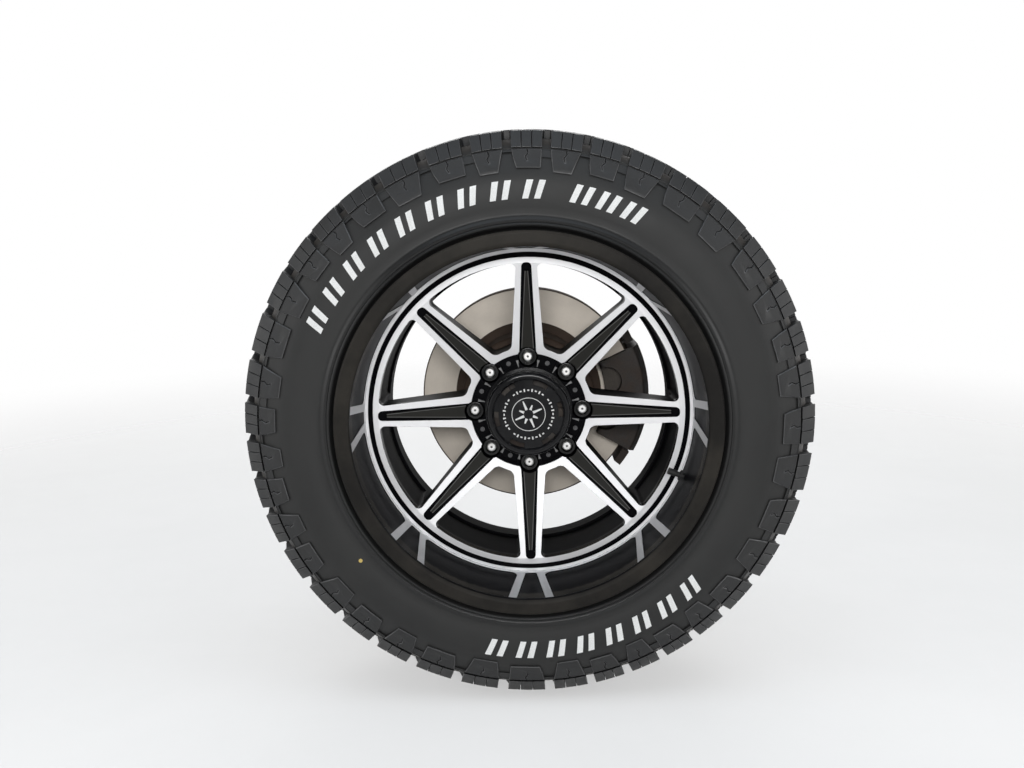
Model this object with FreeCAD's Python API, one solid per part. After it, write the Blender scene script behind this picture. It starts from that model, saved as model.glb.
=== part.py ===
import FreeCAD, Part
import math
import os

# Rear wheel end of a lifted off-road 4x4: tyre, alloy wheel, hub, disc brake and the end of the axle.
# Millimetres. The axle line is Y, outboard is -Y, up is +Z and the back of the vehicle is +X.
# The origin is the centre of the axle tube's cut inboard end.
# "Out" is a distance outboard of the wheel's mounting face, and angles run clockwise from the top,
# as seen from outboard.

# Driving sizes of the wheel end
FACE_TO_CUT = 450.0        # mounting face of the wheel to the cut end of the axle tube
FIT = 0.3                  # clearance between round pieces that fit into each other
RUN_CLEAR = 6.0            # least gap between what turns and what stands still
PAD_CLEAR = 0.5            # gap between a brake pad and the disc
CUT_OVERRUN = 5.0          # how far a cutting shape runs past what it cuts
SAME_POINT = 0.003         # points nearer than this are one point

# Rim
RIM_WIDTH = 330.0          # over both flanges
RIM_BACKSET = 44.0         # mounting face inboard of the rim's centre line
BEAD_SEAT_WIDTH = 26.0
BEAD_HUMP_DROP = 1.8       # fall of the seat over its width
FLANGE_HEIGHT = 16.5       # flange above the bead seat
FLANGE_THICK = 12.5
FLANGE_ROUND = 4.0
LIP_FRONT_DROP = 5.2       # lip's inner wall under the bead seat, at the flange, on this 20 inch rim
LIP_TAPER = 5.5            # how much the lip narrows from the flange to the face
LIP_ROUND = 6.0
LIP_WALL = 5.5
BARREL_DROP = 3.5          # narrow barrel's inner wall inside the ring's inner edge
BARREL_WALL = 7.0
BARREL_END = 33.0          # narrow barrel ends this far inboard of the mounting face
BARREL_RAMP = 38.0         # length of the ramp from the narrow barrel to the back seat
BACK_BORE_DROP = 7.2       # inner wall under the back bead seat
FACE_ROUND = 9.0

# Face of the rim: a cone that sinks from the ring to the hub plate
RING_OUT = 102.0           # ring's front, outboard of the mounting face
EDGE_RING_WIDTH = 4.5      # thin ring against the lip
EDGE_RING_DROP = 1.5       # it lies this far behind the face ring
GROOVE_WIDTH = 7.5
GROOVE_DEPTH = 7.0
RING_WIDTH = 8.5
HUB_EDGE_OUT = 73.0        # where the cone ends at the hub plate
HUB_EDGE_MARGIN = 5.95     # hub plate's edge beyond the lug circle
HUB_PLATE_DROP = 5.0       # hub plate behind the cone's end
PLATE_RECESS_DEPTH = 4.0   # recesses in the hub plate, between the lug nuts
PLATE_RECESS_MARGIN = 3.4  # from the cap's flange and from the plate's edge
PLATE_RECESS_HALF_DEG = 9.2
SPOKE_DEPTH = 48.0         # thickness of face and spokes at the ring
HUB_BACK_MARGIN = 10.5     # mounting pad beyond the hub plate's edge
HUB_BACK_RISE = 12.0       # start of the spokes' back in front of the mounting face

# Panels sunk in the lip's wall, which leave a fork in line with each spoke
PANEL_DEPTH = 1.5
PANEL_MARGIN = 4.0         # from the edge ring and from the flange's round
PANEL_BACK_HALF_DEG = 18.0 # half angle at the ring
PANEL_FRONT_HALF_DEG = 15.0
PANEL_ROUND = 12.0
FORK_GAP_BACK_HALF = 8.4   # half width of the gap in a fork, at the ring
FORK_GAP_FRONT_HALF = 21.0
FORK_GAP_ROUND = 5.0

# Spokes, windows and pockets
SPOKE_COUNT = 8
SPOKE_HALF_TIP = 15.2      # half width at the ring
SPOKE_HALF_ROOT = 24.5     # half width at the windows' inner end
WINDOW_MARGIN = 9.5        # from the hub plate's edge to the windows
WINDOW_OUTER_ROUND = 7.5
WINDOW_INNER_ROUND = 11.0
POCKET_START_MARGIN = 3.5  # from the hub plate's edge to the pockets
POCKET_OVER_RING = 0.8     # how far the pockets reach into the ring
POCKET_HALF_ROOT = 12.8
POCKET_HALF_TIP = 7.2
POCKET_DEPTH = 7.0
POCKET_ROUND_SHARE = 0.9   # of the pocket's half width at its tip
INSERT_START_MARGIN = 4.0  # between a pocket and its insert, at the hub
INSERT_END_MARGIN = 12.8   # and at the ring
INSERT_HALF_ROOT = 10.0
INSERT_HALF_TIP = 3.0
INSERT_DROP = 1.6          # top of the insert behind the face

# Lug nuts and studs
LUG_COUNT = 8
LUG_CIRCLE_R = 82.55
LUG_BORE_R = 8.2
LUG_SEAT_OUT = 16.0        # front end of the nut's cone
LUG_SEAT_LENGTH = 7.0
LUG_POCKET_CLEAR = 1.8
NUT_R = 13.8
NUT_TIP_OUT = 65.0
NUT_TIP_ROUND = 1.5
NUT_MOUTH_R = 9.4
NUT_MOUTH_DEPTH = 12.0
STUD_R = 7.0
STUD_TIP_SINK = 1.0        # stud's tip inside the nut's mouth
STUD_TIP_CHAMFER = 1.5
STUD_HEAD_R = 11.0
STUD_HEAD_THICK = 6.0

# Centre bore and cap
BORE_MARGIN = 4.35         # metal between the centre bore and the nuts' pockets
CAP_WALL = 3.0
CAP_FLANGE_OVERLAP = 4.0   # cap's flange beyond the centre bore
CAP_FLANGE_WIDTH = 2.6
CAP_FLANGE_THICK = 4.0
CAP_ROUND = 6.0
CAP_ROOM = 6.0             # from the shaft's bolt heads to the cap
CAP_FACE_SINK = 3.0        # the cap's middle lies behind its rim
CAP_RIM_WIDTH = 12.0
CAP_SLOT_COUNT = 6
CAP_SLOT_WIDTH = 7.0
CAP_SLOT_DEG = 27.0        # length of a slot
CAP_SLOT_FIRST_DEG = 22.0

# Hub and bearings
HUB_FLANGE_MARGIN = 18.45  # hub flange beyond the lug circle
HUB_FLANGE_THICK = 17.0
HUB_REGISTER_LENGTH = 14.0 # the nose fits the rim's centre bore over this length
HUB_NOSE_RELIEF = 4.6      # nose inside the centre bore, beyond that length
HUB_NOSE_WALL = 5.0
HUB_NOSE_OUT = 74.0
HUB_BODY_WALL = 13.0
HUB_BODY_ROUND = 3.0
HUB_BODY_GAP = 12.0        # from the hub's inboard end to the disc's inboard face
BEARING_HEIGHT = 9.0       # from the spindle to the hub's seat
BEARING_WIDTH = 26.0
BEARING_INSET = 8.0        # bearings lie this far inside the hub's ends

# Brake disc, which the caliper and the rim's barrel are built round
DISC_R = 177.8
DISC_FRONT_IN = 82.0       # friction face, inboard of the mounting face
DISC_THICK = 36.0
DISC_PLATE = 11.0
DISC_HAT_MARGIN = 7.0      # hat beyond the hub flange
DISC_HAT_THICK = 8.0
DISC_HAT_WALL = 6.0
DISC_HAT_ROUND = 6.0
DISC_THROAT = 8.0          # from the hat to the inner edge of the inboard plate
DISC_RELIEF_INSET = 6.0    # groove inside the pads' inner edge
DISC_RELIEF_WIDTH = 1.8
DISC_RELIEF_DEPTH = 1.5
VANE_COUNT = 32
VANE_THICK = 5.0
VANE_INSET = 4.0           # vanes end this far inside the plates' edges

# Axle shaft
SHAFT_R = 19.0
SHAFT_END_BEYOND = 62.0    # splined end beyond the tube's cut end
SHAFT_SPLINE_R = 20.0
SHAFT_SPLINE_LENGTH = 48.0
SHAFT_ROUND = 1.5
SPLINE_COUNT = 24
SPLINE_DEPTH = 1.6
SHAFT_FLANGE_INSET = 0.5   # drive flange inside the hub's nose
SHAFT_FLANGE_THICK = 12.0
SHAFT_BOLT_COUNT = 8
SHAFT_BOLT_MARGIN = 10.5   # bolt circle inside the drive flange
SHAFT_BOLT_HEAD_R = 7.5
SHAFT_BOLT_HEAD_THICK = 7.0

# Axle tube and spindle
TUBE_R = 50.8
TUBE_WALL = 9.5
TUBE_END_STEP = 0.8        # turned end that is pressed into the axle's centre housing
TUBE_END_LENGTH = 90.0
SPINDLE_INSET = 14.0       # spindle's end inside the hub's nose
SPINDLE_ROUND = 1.5
SPINDLE_FILLET = 2.0
BRAKE_FLANGE_WIDTH = 45.2  # beyond the tube
BRAKE_FLANGE_THICK = 15.0

# Spring perch
PERCH_FROM_FACE = 292.0    # middle of the perch, inboard of the mounting face
PERCH_WIDTH = 76.0
PERCH_LENGTH = 132.0
PERCH_THICK = 12.0
PERCH_RISE = 31.2          # top of the perch over the tube
PERCH_ROUND = 1.5
PERCH_WEB_THICK = 8.0
PERCH_PIN_R = 8.2

# Shock absorber bracket
SHOCK_FROM_PERCH = 60.0    # its middle outboard of the perch's middle
SHOCK_EAR_GAP = 38.0
SHOCK_EAR_THICK = 7.0
SHOCK_EYE_DROP = 92.0      # eye under the axle line
SHOCK_EYE_BACK = 46.0      # eye behind the axle line
SHOCK_EAR_R = 22.0
SHOCK_EAR_ROUND_SHARE = 0.9
SHOCK_BOLT_R = 7.2

# Dust shield
SHIELD_INSET = 5.8         # shield's edge inside the disc's edge
SHIELD_THICK = 2.0
SHIELD_BORE_MARGIN = 5.0   # round the axle tube
SHIELD_GAP_DEG = 3.0       # between the shield and the caliper bracket, at each end
SHIELD_BOLT_COUNT = 4
SHIELD_BOLT_MARGIN = 18.0  # bolt circle inside the brake flange's edge
SHIELD_BOLT_HEAD_R = 7.0
SHIELD_BOLT_HEAD_THICK = 5.0

# Caliper
CALIPER_DEG = 92.0         # middle of the caliper
CALIPER_TO_BARREL = 22.5   # room between the caliper and the barrel
CALIPER_BRIDGE_THICK = 16.2
CALIPER_FRONT_SLOPE = 10.0 # fall of the bridge's outside towards the fingers
CALIPER_FINGER_THICK = 19.0
CALIPER_HOUSING_THICK = 26.0
CALIPER_ROUND = 5.0
CALIPER_ARM_GAP_DEG = 2.0  # between the caliper and the bracket's arms
PISTON_BOSS_SHARE = 0.4306 # radius of the bosses, of the caliper's height
PISTON_BOSS_LENGTH = 38.0
PISTON_INSET = 9.0         # bosses inside the caliper's outside
PISTON_HALF_DEG = 12.5
PAD_FRICTION_THICK = 11.0
PAD_PLATE_THICK = 6.0
PAD_OUTER_INSET = 3.8      # pads inside the disc's edge
PAD_INNER_SHARE = 0.1942   # start of the pads, of the friction face's height
PAD_END_DEG = 4.0          # pads end this far inside the caliper's ends
BRACKET_HALF_DEG = 37.0
BRACKET_ARM_DEG = 8.0
BRACKET_ARM_THICK = 12.2
BRACKET_PLATE_THICK = 14.0
BRACKET_BOLT_MARGIN = 12.0 # bolt circle inside the brake flange's edge, and outside the bracket's
BRACKET_BOLT_HALF_DEG = 24.0
BRACKET_BOLT_HEAD_R = 11.0
BRACKET_BOLT_HEAD_THICK = 9.0
EAR_THICK = 10.0
EAR_WIDTH = 23.0
EAR_PROUD = 1.0            # ears beyond the caliper's outside
EAR_ROUND = 2.5
SCALLOP_SHARE = 0.3333     # radius of the finger's scallops, of the caliper's height
SCALLOP_RISE = 4.0         # their centres outside the caliper's inner edge
GUIDE_PIN_R = 6.0
GUIDE_PIN_HEAD_R = 9.5
GUIDE_PIN_HEAD_THICK = 8.0
BOOT_R = 9.5
BOOT_WAIST_R = 7.8
BOOT_FOLDS = 4
BLEED_R = 4.0
BLEED_LENGTH = 20.0

# Tyre
TYRE_R = 418.0
TYRE_SECTION = 324.0       # widest, over the sidewalls
TREAD_WIDTH = 250.0
BEAD_WIDTH = 16.0
CROWN_SHARE = 0.8          # flat middle of the tread, of its width
# Places on the sidewall: shares of its height over the flange, and of the way out from the tread's edge
GUARD_SHARES = (0.092, 1.0)
LUG_FOOT_SHARES = (0.522, 1.0)
PARTING_SHARES = (0.764, 0.595)
SHOULDER_SHARES = (0.931, 0.0)
# Cavity, the same way: where its sides turn in, and the edge of its crown
LINER_TURN_SHARE = 0.655
LINER_CROWN_SHARES = (0.775, 0.0)
# Floor of the grooves between the lugs: its bend, and where it runs out in the tread
FLOOR_BEND_SHARES = (0.764, 0.432)
FLOOR_END_SHARES = (0.991, -0.595)
# Lugs round the tyre in short, middle and long pitches, in the mould's order, with their sizes
LUG_ORDER = "MLMSSMLMSSSSMLLLMSMLLLLMSSSSMLLLMMLMSSSS"
LUG_PITCHES = {"S": 8.0, "M": 9.05, "L": 10.05}
FIRST_LUG_DEG = -83.1
LUG_CUT_OVERRUN = 18.0     # how far a lug's cutter stands off the tyre
LUG_GAP_SHARE = 0.25       # groove, of a pitch
INBOARD_LUG_TURN_DEG = 4.4 # the inboard lugs are turned by this much

# Valve
VALVE_DEG = 112.4
VALVE_FROM_RING = 16.0     # in front of the face ring
VALVE_STEM_R = 4.0
VALVE_BASE_R = 8.0
VALVE_BASE_THICK = 4.0
VALVE_BASE_SINK = 2.0      # how far the base reaches into the lip's wall
VALVE_LENGTH = 18.0
VALVE_CAP_R = 5.0
VALVE_CAP_LENGTH = 11.0
VALVE_CAP_OVERLAP = 6.6    # of the cap over the stem

# Places that follow from the sizes above
FACE_Y = -FACE_TO_CUT
FRONT_OUT = RIM_WIDTH / 2 + RIM_BACKSET
BACK_OUT = FRONT_OUT - RIM_WIDTH
CALIPER_OUTER_R = DISC_R + RUN_CLEAR + CALIPER_BRIDGE_THICK
BARREL_R = CALIPER_OUTER_R + CALIPER_TO_BARREL
RING_INNER_R = BARREL_R + BARREL_DROP
RING_OUTER_R = RING_INNER_R + RING_WIDTH
GROOVE_OUTER_R = RING_OUTER_R + GROOVE_WIDTH
LIP_BACK_R = GROOVE_OUTER_R + EDGE_RING_WIDTH
LIP_FRONT_R = LIP_BACK_R + LIP_TAPER
BEAD_SEAT_R = LIP_FRONT_R + LIP_FRONT_DROP
BACK_BORE_R = BEAD_SEAT_R - BACK_BORE_DROP
FLANGE_R = BEAD_SEAT_R + FLANGE_HEIGHT
SPOKE_BACK_OUT = RING_OUT - SPOKE_DEPTH
PLATE_OUT = HUB_EDGE_OUT - HUB_PLATE_DROP
HUB_EDGE_R = LUG_CIRCLE_R + HUB_EDGE_MARGIN
HUB_BACK_R = HUB_EDGE_R + HUB_BACK_MARGIN
WINDOW_INNER_R = HUB_EDGE_R + WINDOW_MARGIN
POCKET_START_R = HUB_EDGE_R + POCKET_START_MARGIN
POCKET_END_R = RING_INNER_R + POCKET_OVER_RING
INSERT_START_R = POCKET_START_R + INSERT_START_MARGIN
INSERT_END_R = POCKET_END_R - INSERT_END_MARGIN
LUG_POCKET_R = NUT_R + LUG_POCKET_CLEAR
CENTRE_BORE_R = LUG_CIRCLE_R - LUG_POCKET_R - BORE_MARGIN
CAP_FLANGE_R = CENTRE_BORE_R + CAP_FLANGE_OVERLAP
CAP_R = CAP_FLANGE_R - CAP_FLANGE_WIDTH
CAP_FACE_R = CAP_R - CAP_RIM_WIDTH
CAP_FACE_OUT = HUB_NOSE_OUT + SHAFT_FLANGE_THICK + SHAFT_BOLT_HEAD_THICK + CAP_ROOM + CAP_WALL
CAP_FRONT_OUT = CAP_FACE_OUT + CAP_FACE_SINK
STUD_TIP_OUT = NUT_TIP_OUT - STUD_TIP_SINK
HUB_FLANGE_R = LUG_CIRCLE_R + HUB_FLANGE_MARGIN
HUB_NOSE_R = CENTRE_BORE_R - HUB_NOSE_RELIEF
BEARING_OUTER_R = HUB_NOSE_R - HUB_NOSE_WALL
HUB_BODY_R = BEARING_OUTER_R + HUB_BODY_WALL
SPINDLE_R = BEARING_OUTER_R - BEARING_HEIGHT
SPINDLE_OUT = HUB_NOSE_OUT - SPINDLE_INSET
SHAFT_FLANGE_R = HUB_NOSE_R - SHAFT_FLANGE_INSET
SHAFT_BOLT_CIRCLE_R = SHAFT_FLANGE_R - SHAFT_BOLT_MARGIN
CALIPER_FRONT_R = CALIPER_OUTER_R - CALIPER_FRONT_SLOPE
DISC_HAT_R = HUB_FLANGE_R + DISC_HAT_MARGIN
DISC_INNER_R = DISC_HAT_R + DISC_THROAT
DISC_BACK_IN = DISC_FRONT_IN + DISC_THICK
HUB_BODY_IN = DISC_BACK_IN - HUB_BODY_GAP
PAD_OUTER_R = DISC_R - PAD_OUTER_INSET
PAD_INNER_R = DISC_INNER_R + PAD_INNER_SHARE * (DISC_R - DISC_INNER_R)
CALIPER_INNER_R = PAD_INNER_R
CALIPER_BACK_IN = DISC_BACK_IN + PAD_CLEAR + PAD_FRICTION_THICK + PAD_PLATE_THICK + CALIPER_HOUSING_THICK
CALIPER_HALF_DEG = BRACKET_HALF_DEG - BRACKET_ARM_DEG - CALIPER_ARM_GAP_DEG
PAD_HALF_DEG = CALIPER_HALF_DEG - PAD_END_DEG
CALIPER_HEIGHT = CALIPER_OUTER_R - CALIPER_INNER_R
PISTON_BOSS_R = CALIPER_HEIGHT * PISTON_BOSS_SHARE
PISTON_CIRCLE_R = CALIPER_OUTER_R - PISTON_INSET - PISTON_BOSS_R
SCALLOP_R = CALIPER_HEIGHT * SCALLOP_SHARE
SCALLOP_CIRCLE_R = CALIPER_INNER_R + SCALLOP_RISE
SHIELD_R = DISC_R - SHIELD_INSET
SHIELD_IN = DISC_BACK_IN + RUN_CLEAR
SHIELD_GAP_HALF_DEG = BRACKET_HALF_DEG + SHIELD_GAP_DEG
TUBE_END_R = TUBE_R - TUBE_END_STEP
BRAKE_FLANGE_R = TUBE_R + BRAKE_FLANGE_WIDTH
BRAKE_FLANGE_IN = SHIELD_IN + SHIELD_THICK
SHIELD_BOLT_CIRCLE_R = BRAKE_FLANGE_R - SHIELD_BOLT_MARGIN
BRACKET_IN = BRAKE_FLANGE_IN + BRAKE_FLANGE_THICK
BRACKET_OUTER_R = DISC_R + RUN_CLEAR + BRACKET_ARM_THICK
BRACKET_BOLT_CIRCLE_R = BRAKE_FLANGE_R - BRACKET_BOLT_MARGIN
BRACKET_INNER_R = BRACKET_BOLT_CIRCLE_R - BRACKET_BOLT_MARGIN
EAR_OUT = -CALIPER_BACK_IN - PISTON_BOSS_LENGTH + EAR_THICK
EAR_OUTER_R = CALIPER_OUTER_R + EAR_PROUD
EAR_INNER_R = EAR_OUTER_R - EAR_WIDTH
GUIDE_PIN_DEG = BRACKET_HALF_DEG - BRACKET_ARM_DEG / 2
GUIDE_PIN_CIRCLE_R = (DISC_R + RUN_CLEAR + BRACKET_OUTER_R) / 2
PERCH_TOP = TUBE_R + PERCH_RISE
VALVE_OUT = RING_OUT + VALVE_FROM_RING
AXIS_Y = FreeCAD.Vector(0, 1, 0)
CENTRE = FreeCAD.Vector(0, 0, 0)


def on_section(out, radius):
    """Point above the axle line: a distance outboard of the mounting face, and a radius."""
    return FreeCAD.Vector(0, FACE_Y - out, radius)


def on_face(side, radius):
    """Point in the mounting face's plane: a distance to the side of the top, and a height."""
    return FreeCAD.Vector(side, FACE_Y, radius)


def rounded_wire(corners, at):
    """Closed wire through corners (a, b, round): each round is a tangent arc of that radius."""
    points = [at(a, b) for a, b, _ in corners]
    edges = []
    ends = []
    for i, (_, _, radius) in enumerate(corners):
        here = points[i]
        before = (points[i - 1] - here).normalize()
        after = (points[(i + 1) % len(points)] - here).normalize()
        if radius == 0:
            ends.append((here, here))
            continue
        half = before.getAngle(after) / 2
        start = here + before * (radius / math.tan(half))
        end = here + after * (radius / math.tan(half))
        bisector = (before + after).normalize()
        middle = here + bisector * (radius / math.sin(half) - radius)
        edges.append((i, Part.Arc(start, middle, end).toShape()))
        ends.append((start, end))
    arcs = dict(edges)
    chain = []
    for i, (start, end) in enumerate(ends):
        if i in arcs:
            chain.append(arcs[i])
        following = ends[(i + 1) % len(ends)][0]
        if end.distanceToPoint(following) > SAME_POINT:
            chain.append(Part.LineSegment(end, following).toShape())
    return Part.Wire(chain)


def turned(corners, start_deg=0, sweep_deg=360):
    """Solid of revolution about the axle line from section corners (out, radius, round)."""
    face = Part.Face(rounded_wire(corners, on_section))
    solid = face.revolve(CENTRE, AXIS_Y, sweep_deg)
    return at_angle(solid, start_deg)


def plate(corners, out_low, out_high):
    """Plate square to the axle line, from outline corners (side, radius, round)."""
    face = Part.Face(rounded_wire(corners, on_face))
    face.translate(FreeCAD.Vector(0, -out_low, 0))
    return face.extrude(FreeCAD.Vector(0, out_low - out_high, 0))


def at_angle(shape, degrees):
    """Copy of a shape turned clockwise about the axle line, as seen from outboard."""
    copy = shape.copy()
    copy.rotate(CENTRE, AXIS_Y, degrees)
    return copy


def around(shape, count, first_deg=0):
    """Copies of a shape evenly spaced about the axle line."""
    return [at_angle(shape, first_deg + i * 360 / count) for i in range(count)]


def rod(radius, out_low, out_high, side=0, height=0):
    """Round bar along the axle direction."""
    base = FreeCAD.Vector(side, FACE_Y - out_low, height)
    return Part.makeCylinder(radius, out_high - out_low, base, FreeCAD.Vector(0, -1, 0))


def rod_at(radius, out_low, out_high, circle_r, degrees):
    """Round bar along the axle direction, on a circle about the axle line."""
    return at_angle(rod(radius, out_low, out_high, 0, circle_r), degrees)


def sleeve(outer_r, inner_r, out_low, out_high):
    """Round tube about the axle line."""
    bore = rod(inner_r, out_low - CUT_OVERRUN, out_high + CUT_OVERRUN)
    return rod(outer_r, out_low, out_high).cut(bore)


def face_out(radius):
    """Front of the spokes' cone at a radius."""
    slope = (RING_OUT - HUB_EDGE_OUT) / (RING_INNER_R - HUB_EDGE_R)
    return HUB_EDGE_OUT + (radius - HUB_EDGE_R) * slope


def rim_blank():
    """Turned rim: flanges, bead seats, lip, ring, cone and mounting pad."""
    seat_end_r = BEAD_SEAT_R - BEAD_HUMP_DROP
    front_seat = FRONT_OUT - FLANGE_THICK
    back_seat = BACK_OUT + FLANGE_THICK
    drop_r = BARREL_R + BARREL_WALL
    groove_out = RING_OUT - GROOVE_DEPTH
    edge_out = RING_OUT - EDGE_RING_DROP
    return turned([
        (FRONT_OUT, LIP_FRONT_R, LIP_ROUND),
        (FRONT_OUT, FLANGE_R, FLANGE_ROUND),
        (front_seat, FLANGE_R, FLANGE_ROUND),
        (front_seat, BEAD_SEAT_R, FLANGE_ROUND),
        (front_seat - BEAD_SEAT_WIDTH, seat_end_r, 0),
        (edge_out, LIP_BACK_R + LIP_WALL, FACE_ROUND),
        (edge_out - BARREL_RAMP, drop_r, FACE_ROUND),
        (-BARREL_END, drop_r, FACE_ROUND),
        (back_seat + BEAD_SEAT_WIDTH, seat_end_r, 0),
        (back_seat, BEAD_SEAT_R, FLANGE_ROUND),
        (back_seat, FLANGE_R, FLANGE_ROUND),
        (BACK_OUT, FLANGE_R, FLANGE_ROUND),
        (BACK_OUT, BACK_BORE_R, LIP_ROUND),
        (-BARREL_END - BARREL_RAMP, BACK_BORE_R, FACE_ROUND),
        (-BARREL_END, BARREL_R, FACE_ROUND),
        (SPOKE_BACK_OUT, BARREL_R, FACE_ROUND),
        (HUB_BACK_RISE, HUB_BACK_R, FACE_ROUND),
        (0, HUB_BACK_R, 0),
        (0, CENTRE_BORE_R, 0),
        (PLATE_OUT, CENTRE_BORE_R, 0),
        (PLATE_OUT, HUB_EDGE_R, 0),
        (HUB_EDGE_OUT, HUB_EDGE_R, 0),
        (RING_OUT, RING_INNER_R, 0),
        (RING_OUT, RING_OUTER_R, 0),
        (groove_out, RING_OUTER_R, 0),
        (groove_out, GROOVE_OUTER_R, 0),
        (edge_out, GROOVE_OUTER_R, 0),
        (edge_out, LIP_BACK_R, 0),
    ])


def along_y(edge, radius):
    """Whether an edge runs along the axle at about a radius from it."""
    ends = [vertex.Point for vertex in edge.Vertexes]
    if len(ends) < 2:
        return False
    straight = abs(ends[0].x - ends[1].x) < FIT and abs(ends[0].z - ends[1].z) < FIT
    return straight and abs(math.hypot(ends[0].x, ends[0].z) - radius) < CUT_OVERRUN


def spoke_half(radius):
    """Half width of a spoke at a radius."""
    slope = (SPOKE_HALF_ROOT - SPOKE_HALF_TIP) / (RING_INNER_R - WINDOW_INNER_R)
    return SPOKE_HALF_ROOT - (radius - WINDOW_INNER_R) * slope


def spoke_edge_point(radius, degrees, side):
    """Point where a spoke's side meets a circle, in the mounting face's plane."""
    half = spoke_half(radius)
    point = on_face(side * half, math.sqrt(radius ** 2 - half ** 2))
    point = Part.Vertex(point)
    return at_angle(point, degrees).Point


def window():
    """Cutter for the window between the top spoke and the next one clockwise."""
    pitch = 360 / SPOKE_COUNT
    outer_left = spoke_edge_point(RING_INNER_R, 0, 1)
    outer_right = spoke_edge_point(RING_INNER_R, pitch, -1)
    inner_left = spoke_edge_point(WINDOW_INNER_R, 0, 1)
    inner_right = spoke_edge_point(WINDOW_INNER_R, pitch, -1)
    outer_middle = at_angle(Part.Vertex(on_face(0, RING_INNER_R)), pitch / 2).Point
    inner_middle = at_angle(Part.Vertex(on_face(0, WINDOW_INNER_R)), pitch / 2).Point
    wire = Part.Wire([
        Part.Arc(outer_left, outer_middle, outer_right).toShape(),
        Part.LineSegment(outer_right, inner_right).toShape(),
        Part.Arc(inner_right, inner_middle, inner_left).toShape(),
        Part.LineSegment(inner_left, outer_left).toShape(),
    ])
    solid = Part.Face(wire).extrude(FreeCAD.Vector(0, -FRONT_OUT, 0))
    outer = [edge for edge in solid.Edges if along_y(edge, RING_INNER_R)]
    solid = solid.makeFillet(WINDOW_OUTER_ROUND, outer)
    inner = [edge for edge in solid.Edges if along_y(edge, WINDOW_INNER_R)]
    return solid.makeFillet(WINDOW_INNER_ROUND, inner)


def in_front_of_cone(depth):
    """Everything in front of the spokes' cone sunk by a depth."""
    hub_out = face_out(0) - depth
    edge_out = face_out(RING_OUTER_R) - depth
    return turned([
        (hub_out, 0, 0),
        (edge_out, RING_OUTER_R, 0),
        (FRONT_OUT, RING_OUTER_R, 0),
        (FRONT_OUT, 0, 0),
    ])


def taper(start_r, start_half, end_r, end_half, end_round):
    """Bar along the top spoke, tapering from one radius to another."""
    return plate([
        (-start_half, start_r, 0),
        (-end_half, end_r, end_round),
        (end_half, end_r, end_round),
        (start_half, start_r, 0),
    ], 0, FRONT_OUT)


def pocket():
    """Cutter for the sunk field of the top spoke, which leaves its raised insert."""
    tip_round = POCKET_HALF_TIP * POCKET_ROUND_SHARE
    field = taper(POCKET_START_R, POCKET_HALF_ROOT, POCKET_END_R, POCKET_HALF_TIP, tip_round)
    insert = taper(INSERT_START_R, INSERT_HALF_ROOT, INSERT_END_R, INSERT_HALF_TIP, 0)
    sunk = field.common(in_front_of_cone(POCKET_DEPTH))
    standing = insert.cut(in_front_of_cone(INSERT_DROP))
    return sunk.cut(standing)


def lug_hole():
    """Cutter for one lug hole: stud bore, cone seat and nut pocket."""
    seat_back = LUG_SEAT_OUT - LUG_SEAT_LENGTH
    bore = rod(LUG_BORE_R, -CUT_OVERRUN, LUG_SEAT_OUT, 0, LUG_CIRCLE_R)
    base = FreeCAD.Vector(0, FACE_Y - seat_back, LUG_CIRCLE_R)
    cone = Part.makeCone(LUG_BORE_R, NUT_R, LUG_SEAT_LENGTH, base, FreeCAD.Vector(0, -1, 0))
    mouth = rod(LUG_POCKET_R, LUG_SEAT_OUT, FRONT_OUT, 0, LUG_CIRCLE_R)
    return bore.fuse([cone, mouth])


def plate_recess():
    """Cutter for the recess in the hub plate after the top lug nut."""
    low = CAP_FLANGE_R + PLATE_RECESS_MARGIN
    high = HUB_EDGE_R - PLATE_RECESS_MARGIN
    floor = PLATE_OUT - PLATE_RECESS_DEPTH
    corners = [(floor, low, 0), (floor, high, 0), (FRONT_OUT, high, 0), (FRONT_OUT, low, 0)]
    start_deg = 180 / LUG_COUNT - PLATE_RECESS_HALF_DEG
    return turned(corners, start_deg, 2 * PLATE_RECESS_HALF_DEG)


def lip_wall_r(out):
    """Radius of the lip's inner wall at a distance outboard."""
    slope = (LIP_FRONT_R - LIP_BACK_R) / (FRONT_OUT - RING_OUT)
    return LIP_BACK_R + (out - RING_OUT) * slope


def lip_panel(back_half, front_half, back_round):
    """Cutter for a panel sunk in the lip's wall at the top, from its half widths at both ends."""
    low = RING_OUT + PANEL_MARGIN
    high = FRONT_OUT - LIP_ROUND - PANEL_MARGIN
    band = turned([
        (low, lip_wall_r(low) - CUT_OVERRUN, 0),
        (low, lip_wall_r(low) + PANEL_DEPTH, 0),
        (high, lip_wall_r(high) + PANEL_DEPTH, 0),
        (high, lip_wall_r(high) - CUT_OVERRUN, 0),
    ])
    outline = rounded_wire([
        (-back_half, low, back_round),
        (back_half, low, back_round),
        (front_half, high, 0),
        (-front_half, high, 0),
    ], lambda side, out: FreeCAD.Vector(side, FACE_Y - out, 0))
    return Part.Face(outline).extrude(FreeCAD.Vector(0, 0, FLANGE_R)).common(band)


def lip_panels():
    """Cutters for the panels between the forks and for the gap in each fork."""
    back_half = LIP_BACK_R * math.sin(math.radians(PANEL_BACK_HALF_DEG))
    front_half = LIP_FRONT_R * math.sin(math.radians(PANEL_FRONT_HALF_DEG))
    between = lip_panel(back_half, front_half, PANEL_ROUND)
    gap = lip_panel(FORK_GAP_BACK_HALF, FORK_GAP_FRONT_HALF, FORK_GAP_ROUND)
    return around(between, SPOKE_COUNT, 180 / SPOKE_COUNT) + around(gap, SPOKE_COUNT)


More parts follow.
